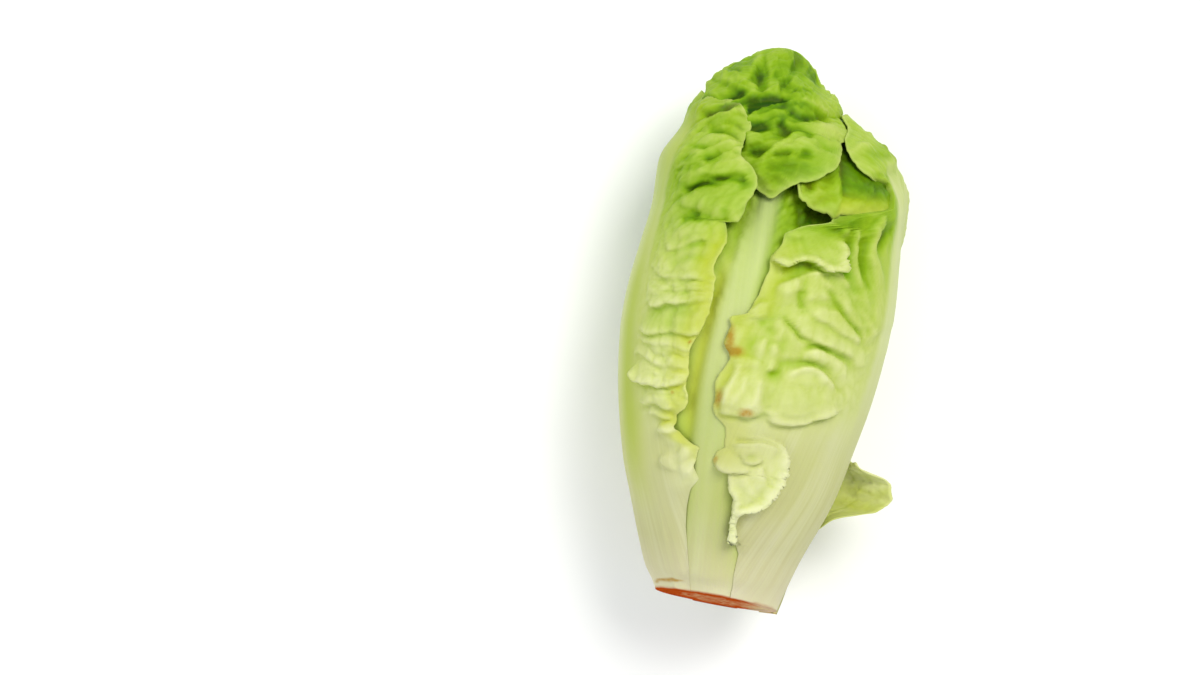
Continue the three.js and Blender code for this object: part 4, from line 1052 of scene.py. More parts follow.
leftLeaf = {
    "name": "leftLeaf", "node": "left_leaf", "slot": "outer_leaf", "midrib": -76, "foot": 0, "tip": 164,
    "left": [(0, -142), (40, -134), (60, -130), (110, -130), (190, -125)],
    "right": [(0, -32), (60, -28), (100, -28), (114, -34), (132, -24), (148, -14), (190, -8)],
    "rightMargin": [(-10.5, 4), (-11, 10), (-12.5, 17), (-14, 24), (-14.3, 30), (-13.7, 36), (-11.6, 39.4),
        (-13.8, 43), (-13.5, 46), (-12.2, 49.6), (-15.5, 50.6), (-18, 52.4), (-21, 55.5), (-21.4, 59),
        (-19.5, 61.5), (-18, 66), (-19, 68.8), (-18.4, 73), (-17.8, 79), (-17.4, 84), (-16.3, 88), (-15, 93),
        (-14, 98), (-13.2, 104), (-13.6, 108), (-13, 112), (-12.4, 116), (-13, 120), (-13.2, 122.6),
        (-8.6, 123.2), (-7.5, 126), (-6.4, 129.6), (-4.4, 132.4), (-4, 135), (-4.6, 138), (-6, 141),
        (-9, 143.8), (-10.4, 147), (-11, 151), (-9, 154.5), (-7.4, 157), (-7, 160), (-7.6, 163), (-9, 165)],
    "inset": (1.4, 0, 2.5, 0, 1.5), "droop": 4, "ribThickness": 3, "ribBehind": 0.5,
    "ribCurve": [(0, 13.5), (90, 12), (120, 10), (145, 8), (156, 5), (163, 2), (168, 1)],
    "ribEnd": (150, 161), "ragged": 1.2, "seed": 6000, "grid": (310, 150), "rounding": (0.93, 0.45),
    "tipTear": 0.15, "tipRise": 2,
    "veinSlant": [(0, 0), (78, -0.1), (92, 0.3), (104, 0.1), (115, 0.3), (135, 0.45), (160, 0.6), (190, 0.6)],
    "pillows": (14, 7.5), "bladeStart": (50, 70), "puckerHeight": 1.3, "frontPuckers": 0.6, "crumple": 0.5,
    "ledges": 0.85, "blisters": 0.6, "wobble": 0.9, "ruffle": 1.5,
    "green": [(0, 0.04), (45, 0.06), (60, 0.14), (80, 0.18), (100, 0.27), (112, 0.36), (124, 0.48),
        (134, 0.54), (146, 0.48), (156, 0.56), (190, 0.6)],
    "yellow": 0.1, "standing": (1.5, -84, 143, 26, 8),
    "topDepth": 1.5, "frillYellow": 0.85, "lowRib": 0.7,
    "shadedRib": 0.75, "shadedGreen": 0.58, "shadedYellow": 0.78,
    "bruises": [(-23, 66.5, 0.7, 0.7), (-19.4, 83, 0.6, 0.6), (-16.4, 3.4, 1.8, 1.2), (-19, 2.4, 1.6, 0.9),
        (-14, 3, 2, 0.7), (-12, 18, 0.5, 3)],
}
leftDrawing = {
    "pillows": [
        (2.4, 3, (0.2, -1), [(-20, 124.4), (-16.6, 123), (-12.6, 123.2), (-8.6, 123.2), (-7, 127),
            (-4.6, 131.6), (-4, 133.6), (-10, 133.8), (-16, 133.8), (-22, 132.6), (-27, 130), (-27, 126.6),
            (-24, 125)]),
        (1.8, 2, (-0.2, 1), [(-10, 137.4), (-14, 135), (-20, 133.8), (-26, 132), (-28.6, 134), (-28, 137),
            (-22, 139.6), (-16, 143), (-11, 145), (-8.6, 144.4), (-6.6, 142), (-7.6, 139.6)]),
        (2.0, 3, (0.3, 1), [(-26, 147), (-21, 146), (-16, 146), (-10, 145.8), (-10.6, 148), (-11.4, 150.4),
            (-16, 150.6), (-22, 150.2), (-27, 149)]),
        (1.0, 2, (0.2, -1), [(-25.6, 141.6), (-21.6, 142.4), (-20, 144), (-22, 145), (-26, 144)]),
        (1.6, 2.4, (0, -1), [(-24, 154.8), (-18, 155.8), (-12, 157.6), (-9, 160), (-11, 160), (-15, 158),
            (-20, 156.6)]),
        (1.3, 2, (0, 1), [(-25, 151.6), (-18, 152.4), (-11, 153), (-9, 154.6), (-14, 154.6), (-20, 153.6)]),
        (1.4, 2.4, (0, 1), [(-25, 113), (-20.6, 116), (-17.6, 115.6), (-17, 120), (-21, 122), (-25, 119.6),
            (-28, 116.6)]),
        (1.2, 2, (0.5, 0), [(-17, 115.4), (-13.4, 115), (-12.8, 119), (-13.6, 122), (-17, 121)]),
    ],
    "ledges": [
        (1.4, 3, [(-29.4, 137), (-25, 138.6), (-20, 140.8)]),
        (1.6, 4, [(-29, 110.8), (-25, 112.8), (-20.4, 115.6), (-17, 115)]),
        (1.3, 4, [(-33, 104), (-24, 103.6), (-15.5, 104.2)]),
        (1.9, 4, [(-35, 94.6), (-31, 93.5), (-27, 94.5), (-21, 96.6)]),
        (1.7, 3.5, [(-35, 84), (-28, 84.8), (-20, 85.5), (-16.3, 86.5)]),
        (1.2, 2.5, [(-34.5, 80.8), (-26, 80.5), (-17.8, 80.5)]),
        (1.0, 2.5, [(-31, 78.2), (-24, 79), (-18.4, 78.6)]),
        (1.0, 2.5, [(-35.5, 75.8), (-28, 75), (-18.6, 74)]),
        (2.5, 4, [(-36, 73), (-33.8, 69.3), (-29, 67.8), (-24, 68), (-18.8, 68.8)]),
        (1.7, 3, [(-31.5, 62), (-28, 60.5), (-24, 60), (-20.3, 60.8)]),
        (1.3, 2.5, [(-29.5, 57.5), (-25, 56.5), (-21.5, 56.6)]),
        (1.2, 2.2, [(-26, 52.6), (-22.6, 52.2), (-19.4, 53)]),
        (1.0, 2.0, [(-24.6, 46), (-23, 42.6), (-20, 41), (-17.6, 42.4)]),
        (1.0, 2.0, [(-16.6, 41), (-15, 45), (-16, 49), (-19.4, 51.4)]),
        (0.9, 1.8, [(-13.4, 40), (-12.8, 43.6), (-14, 46.4)]),
    ],
    "creases": [
        (2.6, 1.2, [(-27.6, 130.6), (-22, 133), (-16, 135.4), (-11, 137.6), (-7, 138.6)]),
        (1.1, 1.2, [(-20.6, 141.4), (-17.6, 143), (-16.4, 145.4)]),
        (1.2, 0.9, [(-22, 151.2), (-17, 151.6), (-11.6, 151.6)]),
        (1.2, 1.2, [(-25.6, 120.6), (-22.6, 122.8), (-20, 124.2)]),
        (1.2, 0.9, [(-23, 152.6), (-16, 153.8), (-10, 155)]),
        (2.2, 1.1, [(-24.6, 155), (-19, 157), (-15, 159.2), (-12.4, 161.6), (-11.4, 164)]),
        (-0.8, 0.8, [(-25, 153.6), (-18, 156), (-13, 158), (-9.6, 161)]),
        (-0.8, 0.8, [(-24.6, 160.6), (-21, 162.6), (-17, 163.8), (-13.4, 163.8)]),
        (1.2, 1.4, [(-34, 90.4), (-26, 92.6), (-16, 96.4)]),
        (0.8, 1.2, [(-30, 108), (-24, 109), (-15, 110)]),
        (0.8, 1.0, [(-33, 99), (-27, 98), (-20, 99)]),
        (-0.9, 0.8, [(-27.6, 131.4), (-21, 134.2), (-15, 135), (-11.6, 137.2), (-7, 138.4)]),
        (-0.9, 0.8, [(-28, 137), (-22, 139.8), (-16, 143.4), (-11, 145.2)]),
        (0.7, 0.9, [(-21, 47), (-19.4, 44), (-18.4, 47.6)]),
        (0.8, 0.9, [(-31, 70.6), (-26, 71.6), (-21, 70.8)]),
        (0.6, 0.8, [(-29, 64.6), (-25, 64), (-21.6, 65)]),
    ],
    "domes": [
        (-0.6, -8, 136.2, 3, 1.8), (-0.5, -24, 145, 3, 1.2), (1.4, -22.4, 52.6, 3.6, 3),
        (1.4, -17, 47.6, 3.4, 3.4), (1.2, -14.4, 42, 2.8, 3.4), (1.2, -21, 45, 3.4, 3.4),
        (1.3, -30, 98.3, 4.4, 3), (1.1, -22, 71, 4, 2.4), (1.2, -26, 63.5, 4.5, 2.6),
    ],
    "shades": [
        (0.24, -8, 136, 2.6, 1.4), (0.2, -24, 145, 3, 1), (0.18, -18.4, 143, 2, 1.6),
        (0.2, -25, 140.4, 3, 1.2), (0.3, -15, 136, 3.4, 1), (0.2, -22, 132.6, 3, 0.9),
        (0.24, -23, 122.4, 2.6, 1), (0.3, -13, 120, 0.8, 4), (0.12, -17, 151.6, 5, 0.7),
        (0.2, -13.4, 126, 1, 1), (0.16, -20, 114, 4, 0.8), (-0.1, -28, 71, 7, 4), (0.2, -28, 88, 7, 4),
        (0.2, -12.4, 162, 1.4, 1.8), (0.2, -16, 159, 3, 1), (0.2, -21, 156.8, 3, 0.8),
        (0.06, -19, 160.5, 5, 3),
    ],
}


def makeLeftLeaf():
    leaf = leftLeaf
    sheet = bladeSheet(leaf)
    sheet.spread = standing(sheet, *leaf["standing"])
    puckers(sheet)
    fold(sheet, leftDrawing)
    paintLeaf(sheet)
    paint, along, onFront = sheet.paint, sheet.along, sheet.aside > 0
    frill = (1 - smoothStep(2, 11, sheet.edge)) * smoothStep(40, 55, along)
    frill = frill * (1 - smoothStep(112, 126, along))
    paint["yellow"] = np.maximum(paint["yellow"], leaf["frillYellow"] * frill * sheet.front * onFront)
    low = smoothStep(35, 41, along) * (1 - smoothStep(3, 11, sheet.edge)) * onFront
    paint["rib"] = paint["rib"] * (1 - leaf["lowRib"] * low)
    flush = smoothStep(146, 153, along)
    sheet.freed = 1 - flush * (1 - smoothStep(0, 7, sheet.edge)) * onFront
    sheet.tucked = leaf["topDepth"] * flush * (1 - smoothStep(0.5, 5, sheet.edge)) + dipped(sheet)
    # Painted shade and a painted green reflection on the outer side of the midrib: less pale, greener and
    # yellower.
    shaded = smoothStep(15, 60, along) * hill(sheet.aside, 6, 8.5)
    shaded *= 0.85 - 0.45 * smoothStep(95, 130, along)
    paint["rib"] = paint["rib"] * (1 - leaf["shadedRib"] * shaded)
    paint["green"] = np.maximum(paint["green"], leaf["shadedGreen"] * shaded)
    paint["yellow"] = np.maximum(paint["yellow"], leaf["shadedYellow"] * shaded)
    paint["bruise"] = bruises(sheet)
    return sheet.lay()


sideLeaf = {
    "name": "sideLeaf", "node": "side_leaf", "slot": "outer_leaf", "midrib": 118, "foot": 0, "tip": 50,
    "left": [(0, 124), (18, 120), (24, 114), (32, 100), (52, 100), (190, 102)],
    "right": [(0, 136), (30, 140), (190, 136)],
    "inset": (-1, 0, 0, 0, 0), "rounding": (0.97, 0.3), "ribWidth": 10, "ribThickness": 1.5, "ragged": 0.8,
    "seed": 7000, "grid": (120, 70), "veinSlant": [(0, 0), (190, 0)], "pillows": (6, 9),
    "bladeStart": (20, 40), "puckerHeight": 1.0, "ruffle": 0.8, "settling": 8,
    "green": [(0, 0.05), (20, 0.05), (35, 0.1), (52, 0.04)], "yellow": 0.5,
    # its curled end stands out by the flange times this share along the leaf
    "flange": 16.5, "flangeBend": 1.3,
    "reach": [(0, 0), (32, 0), (33.5, 0.4), (35.5, 0.8), (37, 0.84), (39, 0.86), (42, 0.85), (44.5, 0.8),
        (46.5, 0.6), (48.4, 0), (60, 0)],
    "wrinkles": 0.6, "bladeRib": 0.8, "yellowing": (1.3, 0.15),
}


def makeSideLeaf():
    leaf = sideLeaf
    sheet = bladeSheet(leaf)
    reach = straightThrough(leaf["reach"], sheet.along)
    outwards = np.clip((126 - sheet.turn) / 26, 0, 1.1)
    sheet.spread = leaf["flange"] * sheet.blurred(reach, 3) * outwards ** leaf["flangeBend"]
    waves = np.sin(sheet.along * 1.15 + 1.4 * softNoise(sheet.base, 8, 701))
    wrinkles = waves + 1.2 * softNoise(sheet.base, 3.6, 703)
    sheet.relief += leaf["wrinkles"] * wrinkles * outwards * reach
    puckers(sheet)
    paintLeaf(sheet)
    paint = sheet.paint
    paint["rib"] = paint["rib"] * (1 - leaf["bladeRib"] * smoothStep(26, 34, sheet.along))
    paint["yellow"] = paint["yellow"] * mix(*leaf["yellowing"], smoothStep(40, 46, sheet.along))
    return sheet.lay()


# Meshes.
def paintOn(mesh, name, values):
    colours = np.ones((len(mesh.vertices), 4), np.float32)
    colours[:, :3] = np.stack(values, -1)
    mesh.attributes.new(name, "FLOAT_COLOR", "POINT").data.foreach_set("color", colours.ravel())


def vectorsOn(mesh, name, vectors):
    flat = np.ascontiguousarray(vectors, np.float32).ravel()
    mesh.attributes.new(name, "FLOAT_VECTOR", "POINT").data.foreach_set("vector", flat)


def meshFrom(name, points, quads, triangles):
    mesh = bpy.data.meshes.new(name)
    mesh.vertices.add(len(points))
    mesh.vertices.foreach_set("co", ((points + axisPlace) / 1000).astype(np.float32).ravel())
    corners = np.concatenate([quads.ravel(), triangles.ravel()]).astype(np.int32)
    mesh.loops.add(len(corners))
    mesh.loops.foreach_set("vertex_index", corners)
    mesh.polygons.add(len(quads) + len(triangles))
    starts = np.concatenate([np.arange(len(quads)) * 4, len(quads) * 4 + np.arange(len(triangles)) * 3])
    mesh.polygons.foreach_set("loop_start", starts.astype(np.int32))
    mesh.update(calc_edges=True)
    mesh.validate()
    mesh.polygons.foreach_set("use_smooth", np.ones(len(mesh.polygons), bool))
    return mesh


def quadsOf(index):  # the faces between the points of a grid
    corners = (index[:-1, :-1], index[:-1, 1:], index[1:, 1:], index[1:, :-1])
    return np.stack([corner.ravel() for corner in corners], -1)


shell = {"innerAbove": 0.9, "edgeReach": 1.5, "floorBand": (0.2, 2)}  # mm; blisters fade in over the band


def shellMesh(sheet):  # the closed shell between a leaf's outer and inner side
    closed = sheet.closed
    outer, inner = sheet.layer(sheet.outer, 0), sheet.layer(sheet.inner, shell["innerAbove"])
    rows, columns = sheet.turn.shape
    kept = rows - 1 if closed else rows
    layers = []
    for layer in (outer, inner):
        layers.append(layer[:kept].reshape(-1, 3))
        if closed:
            layers.append(layer[-1].mean(0)[None, :])
    points = np.concatenate(layers)
    half = len(points) // 2
    index = np.arange(kept * columns).reshape(kept, columns)
    if closed:
        index = wrapped(index)
    outside = quadsOf(index)
    quads = [outside, outside[:, ::-1] + half]

    def rim(line):  # from one end of an edge to the other, its outside on the right
        i, j = line[:-1], line[1:]
        quads.append(np.stack([j, i, i + half, j + half], -1))

    rim(index[0])
    triangles = np.zeros((0, 3), int)
    if closed:
        last, tip = index[-1], half - 1
        fan = np.stack([last[:-1], last[1:], np.full(columns, tip)], -1)
        triangles = np.concatenate([fan, fan[:, ::-1] + half])
    else:
        rim(index[-1][::-1])
        rim(index[::-1, 0])
        rim(index[:, -1])
    mesh = meshFrom(sheet.leaf["name"], points, np.concatenate(quads), triangles)

    def spread(grid):  # the values of one side, the tip's at the end
        flat = grid[:kept].ravel()
        return np.concatenate([flat, [grid[-1].mean()]]) if closed else flat

    paint = {name: np.tile(spread(grid), 2) for name, grid in sheet.paint.items()}
    # hollow paint: painted shade in hollows, painted highlight on crests, 0.5 where neither
    paint["hollowShade"] = 0.5 + 0.5 * paint["hollowShade"]
    paintOn(mesh, "tint", (paint["green"], paint["yellow"], paint["rib"]))
    paintOn(mesh, "mark", (paint["hollowShade"], paint["bruise"], paint["browned"]))
    edge = np.tile(spread(np.exp(-sheet.edge / shell["edgeReach"])), 2)
    blade = np.tile(spread(sheet.blade), 2) * smoothStep(*shell["floorBand"], points[:, 2] + axisPlace[2])
    paintOn(mesh, "blade", (blade, edge, np.tile(spread(sheet.share), 2)))
    across, outwards = veinPlace(sheet)
    strip = np.stack([spread(outwards), spread(across), np.full(half, float(sheet.leaf["seed"]))], -1)
    vectorsOn(mesh, "veinPlace", np.tile(strip, (2, 1)))
    return mesh


# Nodes.
class Formula:  # a socket that is used in sums
    def __init__(self, maker, socket):
        self.maker, self.socket = maker, socket

    def done(self, operation, first, second):
        values = [part.socket if isinstance(part, Formula) else part for part in (first, second)]
        made = self.maker.node("ShaderNodeMath", {"operation": operation}, dict(enumerate(values)))
        return Formula(self.maker, made.outputs[0])

    def __add__(self, other):
        return self.done("ADD", self, other)

    def __radd__(self, other):
        return self.done("ADD", other, self)

    def __sub__(self, other):
        return self.done("SUBTRACT", self, other)

    def __rsub__(self, other):
        return self.done("SUBTRACT", other, self)

    def __mul__(self, other):
        return self.done("MULTIPLY", self, other)

    def __rmul__(self, other):
        return self.done("MULTIPLY", other, self)

    def __truediv__(self, other):
        return self.done("DIVIDE", self, other)

    def __rtruediv__(self, other):
        return self.done("DIVIDE", other, self)

    def __pow__(self, other):
        return self.done("POWER", self, other)

    def atMost(self, other):
        return self.done("MINIMUM", self, other)

    def atLeast(self, other):
        return self.done("MAXIMUM", self, other)


class NodeMaker:
    def __init__(self, tree):
        self.tree = tree

    def node(self, kind, settings=None, sockets=None):
        made = self.tree.nodes.new(kind)
        for name, value in (settings or {}).items():
            if name == "stops":
                ramp = made.color_ramp
                while len(ramp.elements) < len(value):
                    ramp.elements.new(0.5)
                for element, (position, tone) in zip(ramp.elements, value):
                    element.position, element.color = position, tone
            else:
                setattr(made, name, value)
        for key, value in (sockets or {}).items():
            socket = made.inputs[key]
            value = value.socket if isinstance(value, Formula) else value
            if isinstance(value, bpy.types.NodeSocket):
                self.tree.links.new(value, socket)
            else:
                socket.default_value = value
        return made

    def formula(self, socket):
        return Formula(self, socket)

    def blend(self, factor, first, second):
        settings = {"data_type": "RGBA", "blend_type": "MIX"}
        return self.node("ShaderNodeMix", settings, {0: factor, 6: first, 7: second}).outputs[2]

    def stretched(self, vector, amounts):
        settings = {"operation": "MULTIPLY"}
        return self.node("ShaderNodeVectorMath", settings, {0: vector, 1: amounts}).outputs[0]

    def scaled(self, vector, amount):
        settings = {"operation": "SCALE"}
        return self.node("ShaderNodeVectorMath", settings, {0: vector, "Scale": amount}).outputs[0]


# Fine blisters, raised by geometry nodes on every leaf. Sizes and heights are in millimetres.
blisters = {
    "size": 3.4, "height": 0.42, "stretch": 0.75,
    "fineSize": 1.5, "fineHeight": 0.14, "fineStretch": 0.8,
    "spread": 0.9, "slope": 2.6, "roundness": 0.5,
}


def blisterTree():
    tree = bpy.data.node_groups.new("fineBlisters", "GeometryNodeTree")
    face = tree.interface
    face.new_socket(name="Geometry", in_out="INPUT", socket_type="NodeSocketGeometry")
    for name in ("blisterSize", "blisterHeight", "fineSize", "fineHeight"):
        face.new_socket(name=name, in_out="INPUT", socket_type="NodeSocketFloat")
    face.new_socket(name="finish", in_out="INPUT", socket_type="NodeSocketMaterial")
    face.new_socket(name="Geometry", in_out="OUTPUT", socket_type="NodeSocketGeometry")
    make = NodeMaker(tree)
    given = make.node("NodeGroupInput").outputs

    def stored(name, kind):
        return make.node("GeometryNodeInputNamedAttribute", {"data_type": kind}, {"Name": name}).outputs[0]

    vein = stored("veinPlace", "FLOAT_VECTOR")
    blade = stored("blade", "FLOAT_COLOR")
    bladeShare = make.formula(make.node("ShaderNodeSeparateXYZ", {}, {0: blade}).outputs[0])

    def raised(size, height, stretch):
        inverse = 1 / make.formula(given[size])
        at = make.scaled(make.stretched(vein, (stretch, 1, 1)), inverse)
        cells = make.node("ShaderNodeTexVoronoi", {"feature": "DISTANCE_TO_EDGE", "voronoi_dimensions": "3D"},
                          {"Vector": at, "Scale": 1.0, "Randomness": blisters["spread"]})
        distance = make.formula(cells.outputs["Distance"])
        rise = (distance * blisters["slope"]).atMost(1) ** blisters["roundness"]
        return rise, rise * make.formula(given[height])

    rise, large = raised("blisterSize", "blisterHeight", blisters["stretch"])
    _, small = raised("fineSize", "fineHeight", blisters["fineStretch"])
    normal = make.node("GeometryNodeInputNormal").outputs[0]
    lift = (large + small) * bladeShare / 1000
    sockets = {"Geometry": given["Geometry"], "Offset": make.scaled(normal, lift)}
    moved = make.node("GeometryNodeSetPosition", {}, sockets).outputs[0]
    marked = make.node("GeometryNodeStoreNamedAttribute", {"data_type": "FLOAT", "domain": "POINT"},
                       {"Geometry": moved, "Name": "blister", "Value": rise * bladeShare}).outputs[0]
    real = make.node("GeometryNodeRealizeInstances", {}, {0: marked}).outputs[0]
    painted = make.node("GeometryNodeSetMaterial", {}, {"Geometry": real, "Material": given["finish"]})
    make.node("NodeGroupOutput", {}, {0: painted.outputs[0]})
    return tree


def inputName(tree, name):
    for item in tree.interface.items_tree:
        if item.item_type == "SOCKET" and item.in_out == "INPUT" and item.name == name:
            return item.identifier


def finishedLeaf(sheet, tree, material):
    piece = bpy.data.objects.new(sheet.leaf["name"], shellMesh(sheet))
    bpy.context.scene.collection.objects.link(piece)
    modifier = piece.modifiers.new("fineBlisters", "NODES")
    modifier.node_group = tree
    fine = sheet.leaf.get("blisters", 1.0)
    values = {
        "blisterSize": blisters["size"], "blisterHeight": blisters["height"] * fine,
        "fineSize": blisters["fineSize"], "fineHeight": blisters["fineHeight"] * fine,
        "finish": material,
    }
    for name, value in values.items():
        modifier[inputName(tree, name)] = value
    makePlain(piece)
    print(sheet.leaf["name"], len(piece.data.polygons), "faces")
    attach(piece, "root")
    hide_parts(sheet.leaf["node"])


def makePlain(piece):  # what its modifiers make becomes its mesh
    bpy.context.view_layer.update()
    graph = bpy.context.evaluated_depsgraph_get()
    evaluated = piece.evaluated_get(graph)
    mesh = bpy.data.meshes.new_from_object(evaluated, preserve_all_data_layers=True, depsgraph=graph)
    piece.modifiers.clear()
    piece.data = mesh


# Finishes.
def colour(red, green, blue):  # screen values to what the shader wants
    shares = (red / 255, green / 255, blue / 255)
    return (*(share / 12.92 if share <= 0.04 else ((share + 0.055) / 1.055) ** 2.4 for share in shares), 1)


leafRamps = {
    "byGreenness": [(0.0, (230, 232, 178)), (0.14, (214, 221, 146)), (0.3, (191, 206, 108)),
        (0.48, (165, 193, 70)), (0.64, (134, 174, 26)), (0.8, (96, 142, 2)), (1.0, (36, 76, 0))],
    "ribByShare": [(0.0, (222, 213, 182)), (0.05, (212, 204, 170)), (0.13, (197, 193, 147)),
        (0.3, (199, 201, 141)), (0.55, (213, 221, 164)), (0.75, (207, 217, 148)), (0.9, (190, 204, 118))],
}
leafColours = {
    "yellow": (190, 197, 14),
    "ribPale": (228, 228, 196),
    "margin": (224, 230, 150),
    "bruise": (176, 128, 18),
    "cutFace": (172, 70, 20),
    "through": (196, 210, 110),
}
leafSurface = {
    "specular": 0.1, "roughness": 0.4, "roughnessWander": 0.16,
    "subsurface": 0.07, "subsurfaceRadius": (0.006, 0.008, 0.002), "subsurfaceScale": 0.5, "letThrough": 0.16,
    "bumpStrength": 0.35, "bumpDistance": 0.0006,
    "strandBumps": 0.5, "grainBumps": 0.35, "fineBumps": 0.12,
    "strandStretch": (1.1, 0.02, 1), "bandStretch": (0.16, 0.012, 1), "palest": 0.32,
    "marginAmount": 0.3, "stainAmount": 0.8,
}
leafNoises = {  # blobs to the metre
    "speckle": 900.0, "stain": 700.0, "cut": 420.0, "grain": 1400.0, "fine": 5000.0, "sheen": 300.0,
}


def leafMaterial():
    material = bpy.data.materials.new("leafFlesh")
    material.use_nodes = True
    tree = material.node_tree
    tree.nodes.clear()
    make = NodeMaker(tree)
    look = leafSurface
    tones = {name: colour(*rgb) for name, rgb in leafColours.items()}

    def painted(name):
        attribute = make.node("ShaderNodeAttribute", {"attribute_name": name})
        parts = make.node("ShaderNodeSeparateColor", {}, {0: attribute.outputs["Color"]}).outputs
        return [make.formula(part) for part in parts]

    def noiseAt(vector, scale, **more):
        made = make.node("ShaderNodeTexNoise", {}, {"Vector": vector, "Scale": scale, **more})
        return make.formula(made.outputs[0])

    def noise(name, detail=3.0):
        return noiseAt(where, leafNoises[name], Detail=detail, Roughness=0.55)

    def ramp(name, factor):
        stops = [(position, colour(*rgb)) for position, rgb in leafRamps[name]]
        return make.node("ShaderNodeValToRGB", {"stops": stops}, {0: factor}).outputs[0]

    green, yellow, rib = painted("tint")
    hollowShade, bruise, browned = painted("mark")
    blade, edge, share = painted("blade")
    blister = make.formula(make.node("ShaderNodeAttribute", {"attribute_name": "blister"}).outputs["Fac"])
    where = make.node("ShaderNodeTexCoord").outputs["Object"]

    # from pale to deep green; painted shade makes it deeper in hollows and in the creases between blisters,
    # and a painted highlight paler on crests
    depth = hollowShade - 0.5
    speckle = noise("speckle") - 0.5
    greener = green + depth * (0.16 + 0.7 * green) + (0.6 - blister) * blade * 0.09 + speckle * 0.06
    flesh = ramp("byGreenness", greener)

    # the midrib, with fine strands and broader pale bands along it
    ribColour = ramp("ribByShare", share)
    strand = make.node("ShaderNodeAttribute", {"attribute_name": "veinPlace"}).outputs["Vector"]
    strands = noiseAt(make.stretched(strand, look["strandStretch"]), 1.0, Detail=3.0)
    bands = noiseAt(make.stretched(strand, look["bandStretch"]), 1.0, Detail=2.0)
    pale = ((bands - 0.46) * 1.5 + (strands - 0.5) * 0.5).atLeast(0).atMost(look["palest"])
    ribColour = make.blend(pale, ribColour, tones["ribPale"])
    flesh = make.blend((rib * (1.15 - 0.5 * strands)).atMost(1), flesh, ribColour)

    # yellowing, stronger in hollows and between blisters as painted shade, paler margins, bruises and the
    # browned cut
    yellowing = (yellow * (0.6 + depth * 1.2) + (0.5 - blister) * blade * 0.1).atLeast(0).atMost(1)
    flesh = make.blend(yellowing, flesh, tones["yellow"])
    flesh = make.blend((edge * blade * look["marginAmount"]).atMost(1), flesh, tones["margin"])
    stain = (bruise * 1.4 * (0.35 + noise("stain")) - 0.1).atLeast(0).atMost(1)
    flesh = make.blend(stain * look["stainAmount"], flesh, tones["bruise"])
    cutting = (browned * (0.65 + noise("cut"))).atMost(1)
    flesh = make.blend(cutting, flesh, tones["cutFace"])

    bumps = strands * rib * look["strandBumps"] + noise("grain") * look["grainBumps"]
    bumps = bumps + noise("fine", 2.0) * look["fineBumps"]
    bump = make.node("ShaderNodeBump", {}, {
        "Strength": look["bumpStrength"], "Distance": look["bumpDistance"], "Height": bumps}).outputs[0]
    roughness = look["roughness"] + look["roughnessWander"] * noise("sheen")
    surface = make.node("ShaderNodeBsdfPrincipled", {}, {
        "Base Color": flesh, "Roughness": roughness, "Normal": bump, "Specular IOR Level": look["specular"],
        "Subsurface Weight": look["subsurface"], "Subsurface Radius": look["subsurfaceRadius"],
        "Subsurface Scale": look["subsurfaceScale"]})
    through = make.node("ShaderNodeBsdfTranslucent", {}, {"Color": tones["through"], "Normal": bump})
    both = make.node("ShaderNodeMixShader", {}, {
        0: look["letThrough"], 1: surface.outputs[0], 2: through.outputs[0]})
    dry = make.node("ShaderNodeBsdfPrincipled", {}, {
        "Base Color": flesh, "Roughness": 1.0, "Normal": bump, "Specular IOR Level": 0.0})
    whole = make.node("ShaderNodeMixShader", {}, {0: cutting, 1: both.outputs[0], 2: dry.outputs[0]})
    make.node("ShaderNodeOutputMaterial", {}, {0: whole.outputs[0]})
    return material


# The stem.
stem = {
    "radius": 14.5, "flare": 17.5, "flareReach": 14, "sides": 160, "sideRings": 34, "faceRings": 26,
    "rings": [(0, 1), (6, 0.97), (12, 0.88), (18, 0.74), (24, 0.5), (30, 0.03)],  # shares of the radius
    "grain": 0.25, "grainSize": 4, "grainSeed": 77, "browned": 0.75, "rimBrowned": 0.25,
}


def markStem():  # on the pile, in steps of 6 mm and one degree
    for low, share in stem["rings"][:-1]:
        steps = np.linspace(0, 360, 361)[None, :].repeat(7, 0)
        alongs = (low + np.arange(7))[:, None].repeat(361, 1).astype(float)
        pile.mark(steps, alongs, stem["radius"] * share - heartRadius(steps, alongs))


def flareAt(turns, sheets):  # at the cut the stem reaches into the innermost leaf over each turn
    nothing = 1000
    nearest = np.full(len(turns), stem["flare"])
    for sheet in sheets:
        if sheet.leaf["foot"] == 0:
            middle = np.where(sheet.along[0] < 2, (sheet.inner[0] + sheet.outer[0]) / 2, nothing)
            after = (turns - sheet.turn[0, 0]) % 360
            here = np.interp(after, sheet.turn[0] - sheet.turn[0, 0], middle, right=nothing)
            nearest = np.minimum(nearest, here)
    lowest = np.min([np.roll(nearest, k) for k in range(-2, 3)], axis=0)
    return np.mean([np.roll(lowest, k) for k in range(-2, 3)], axis=0)


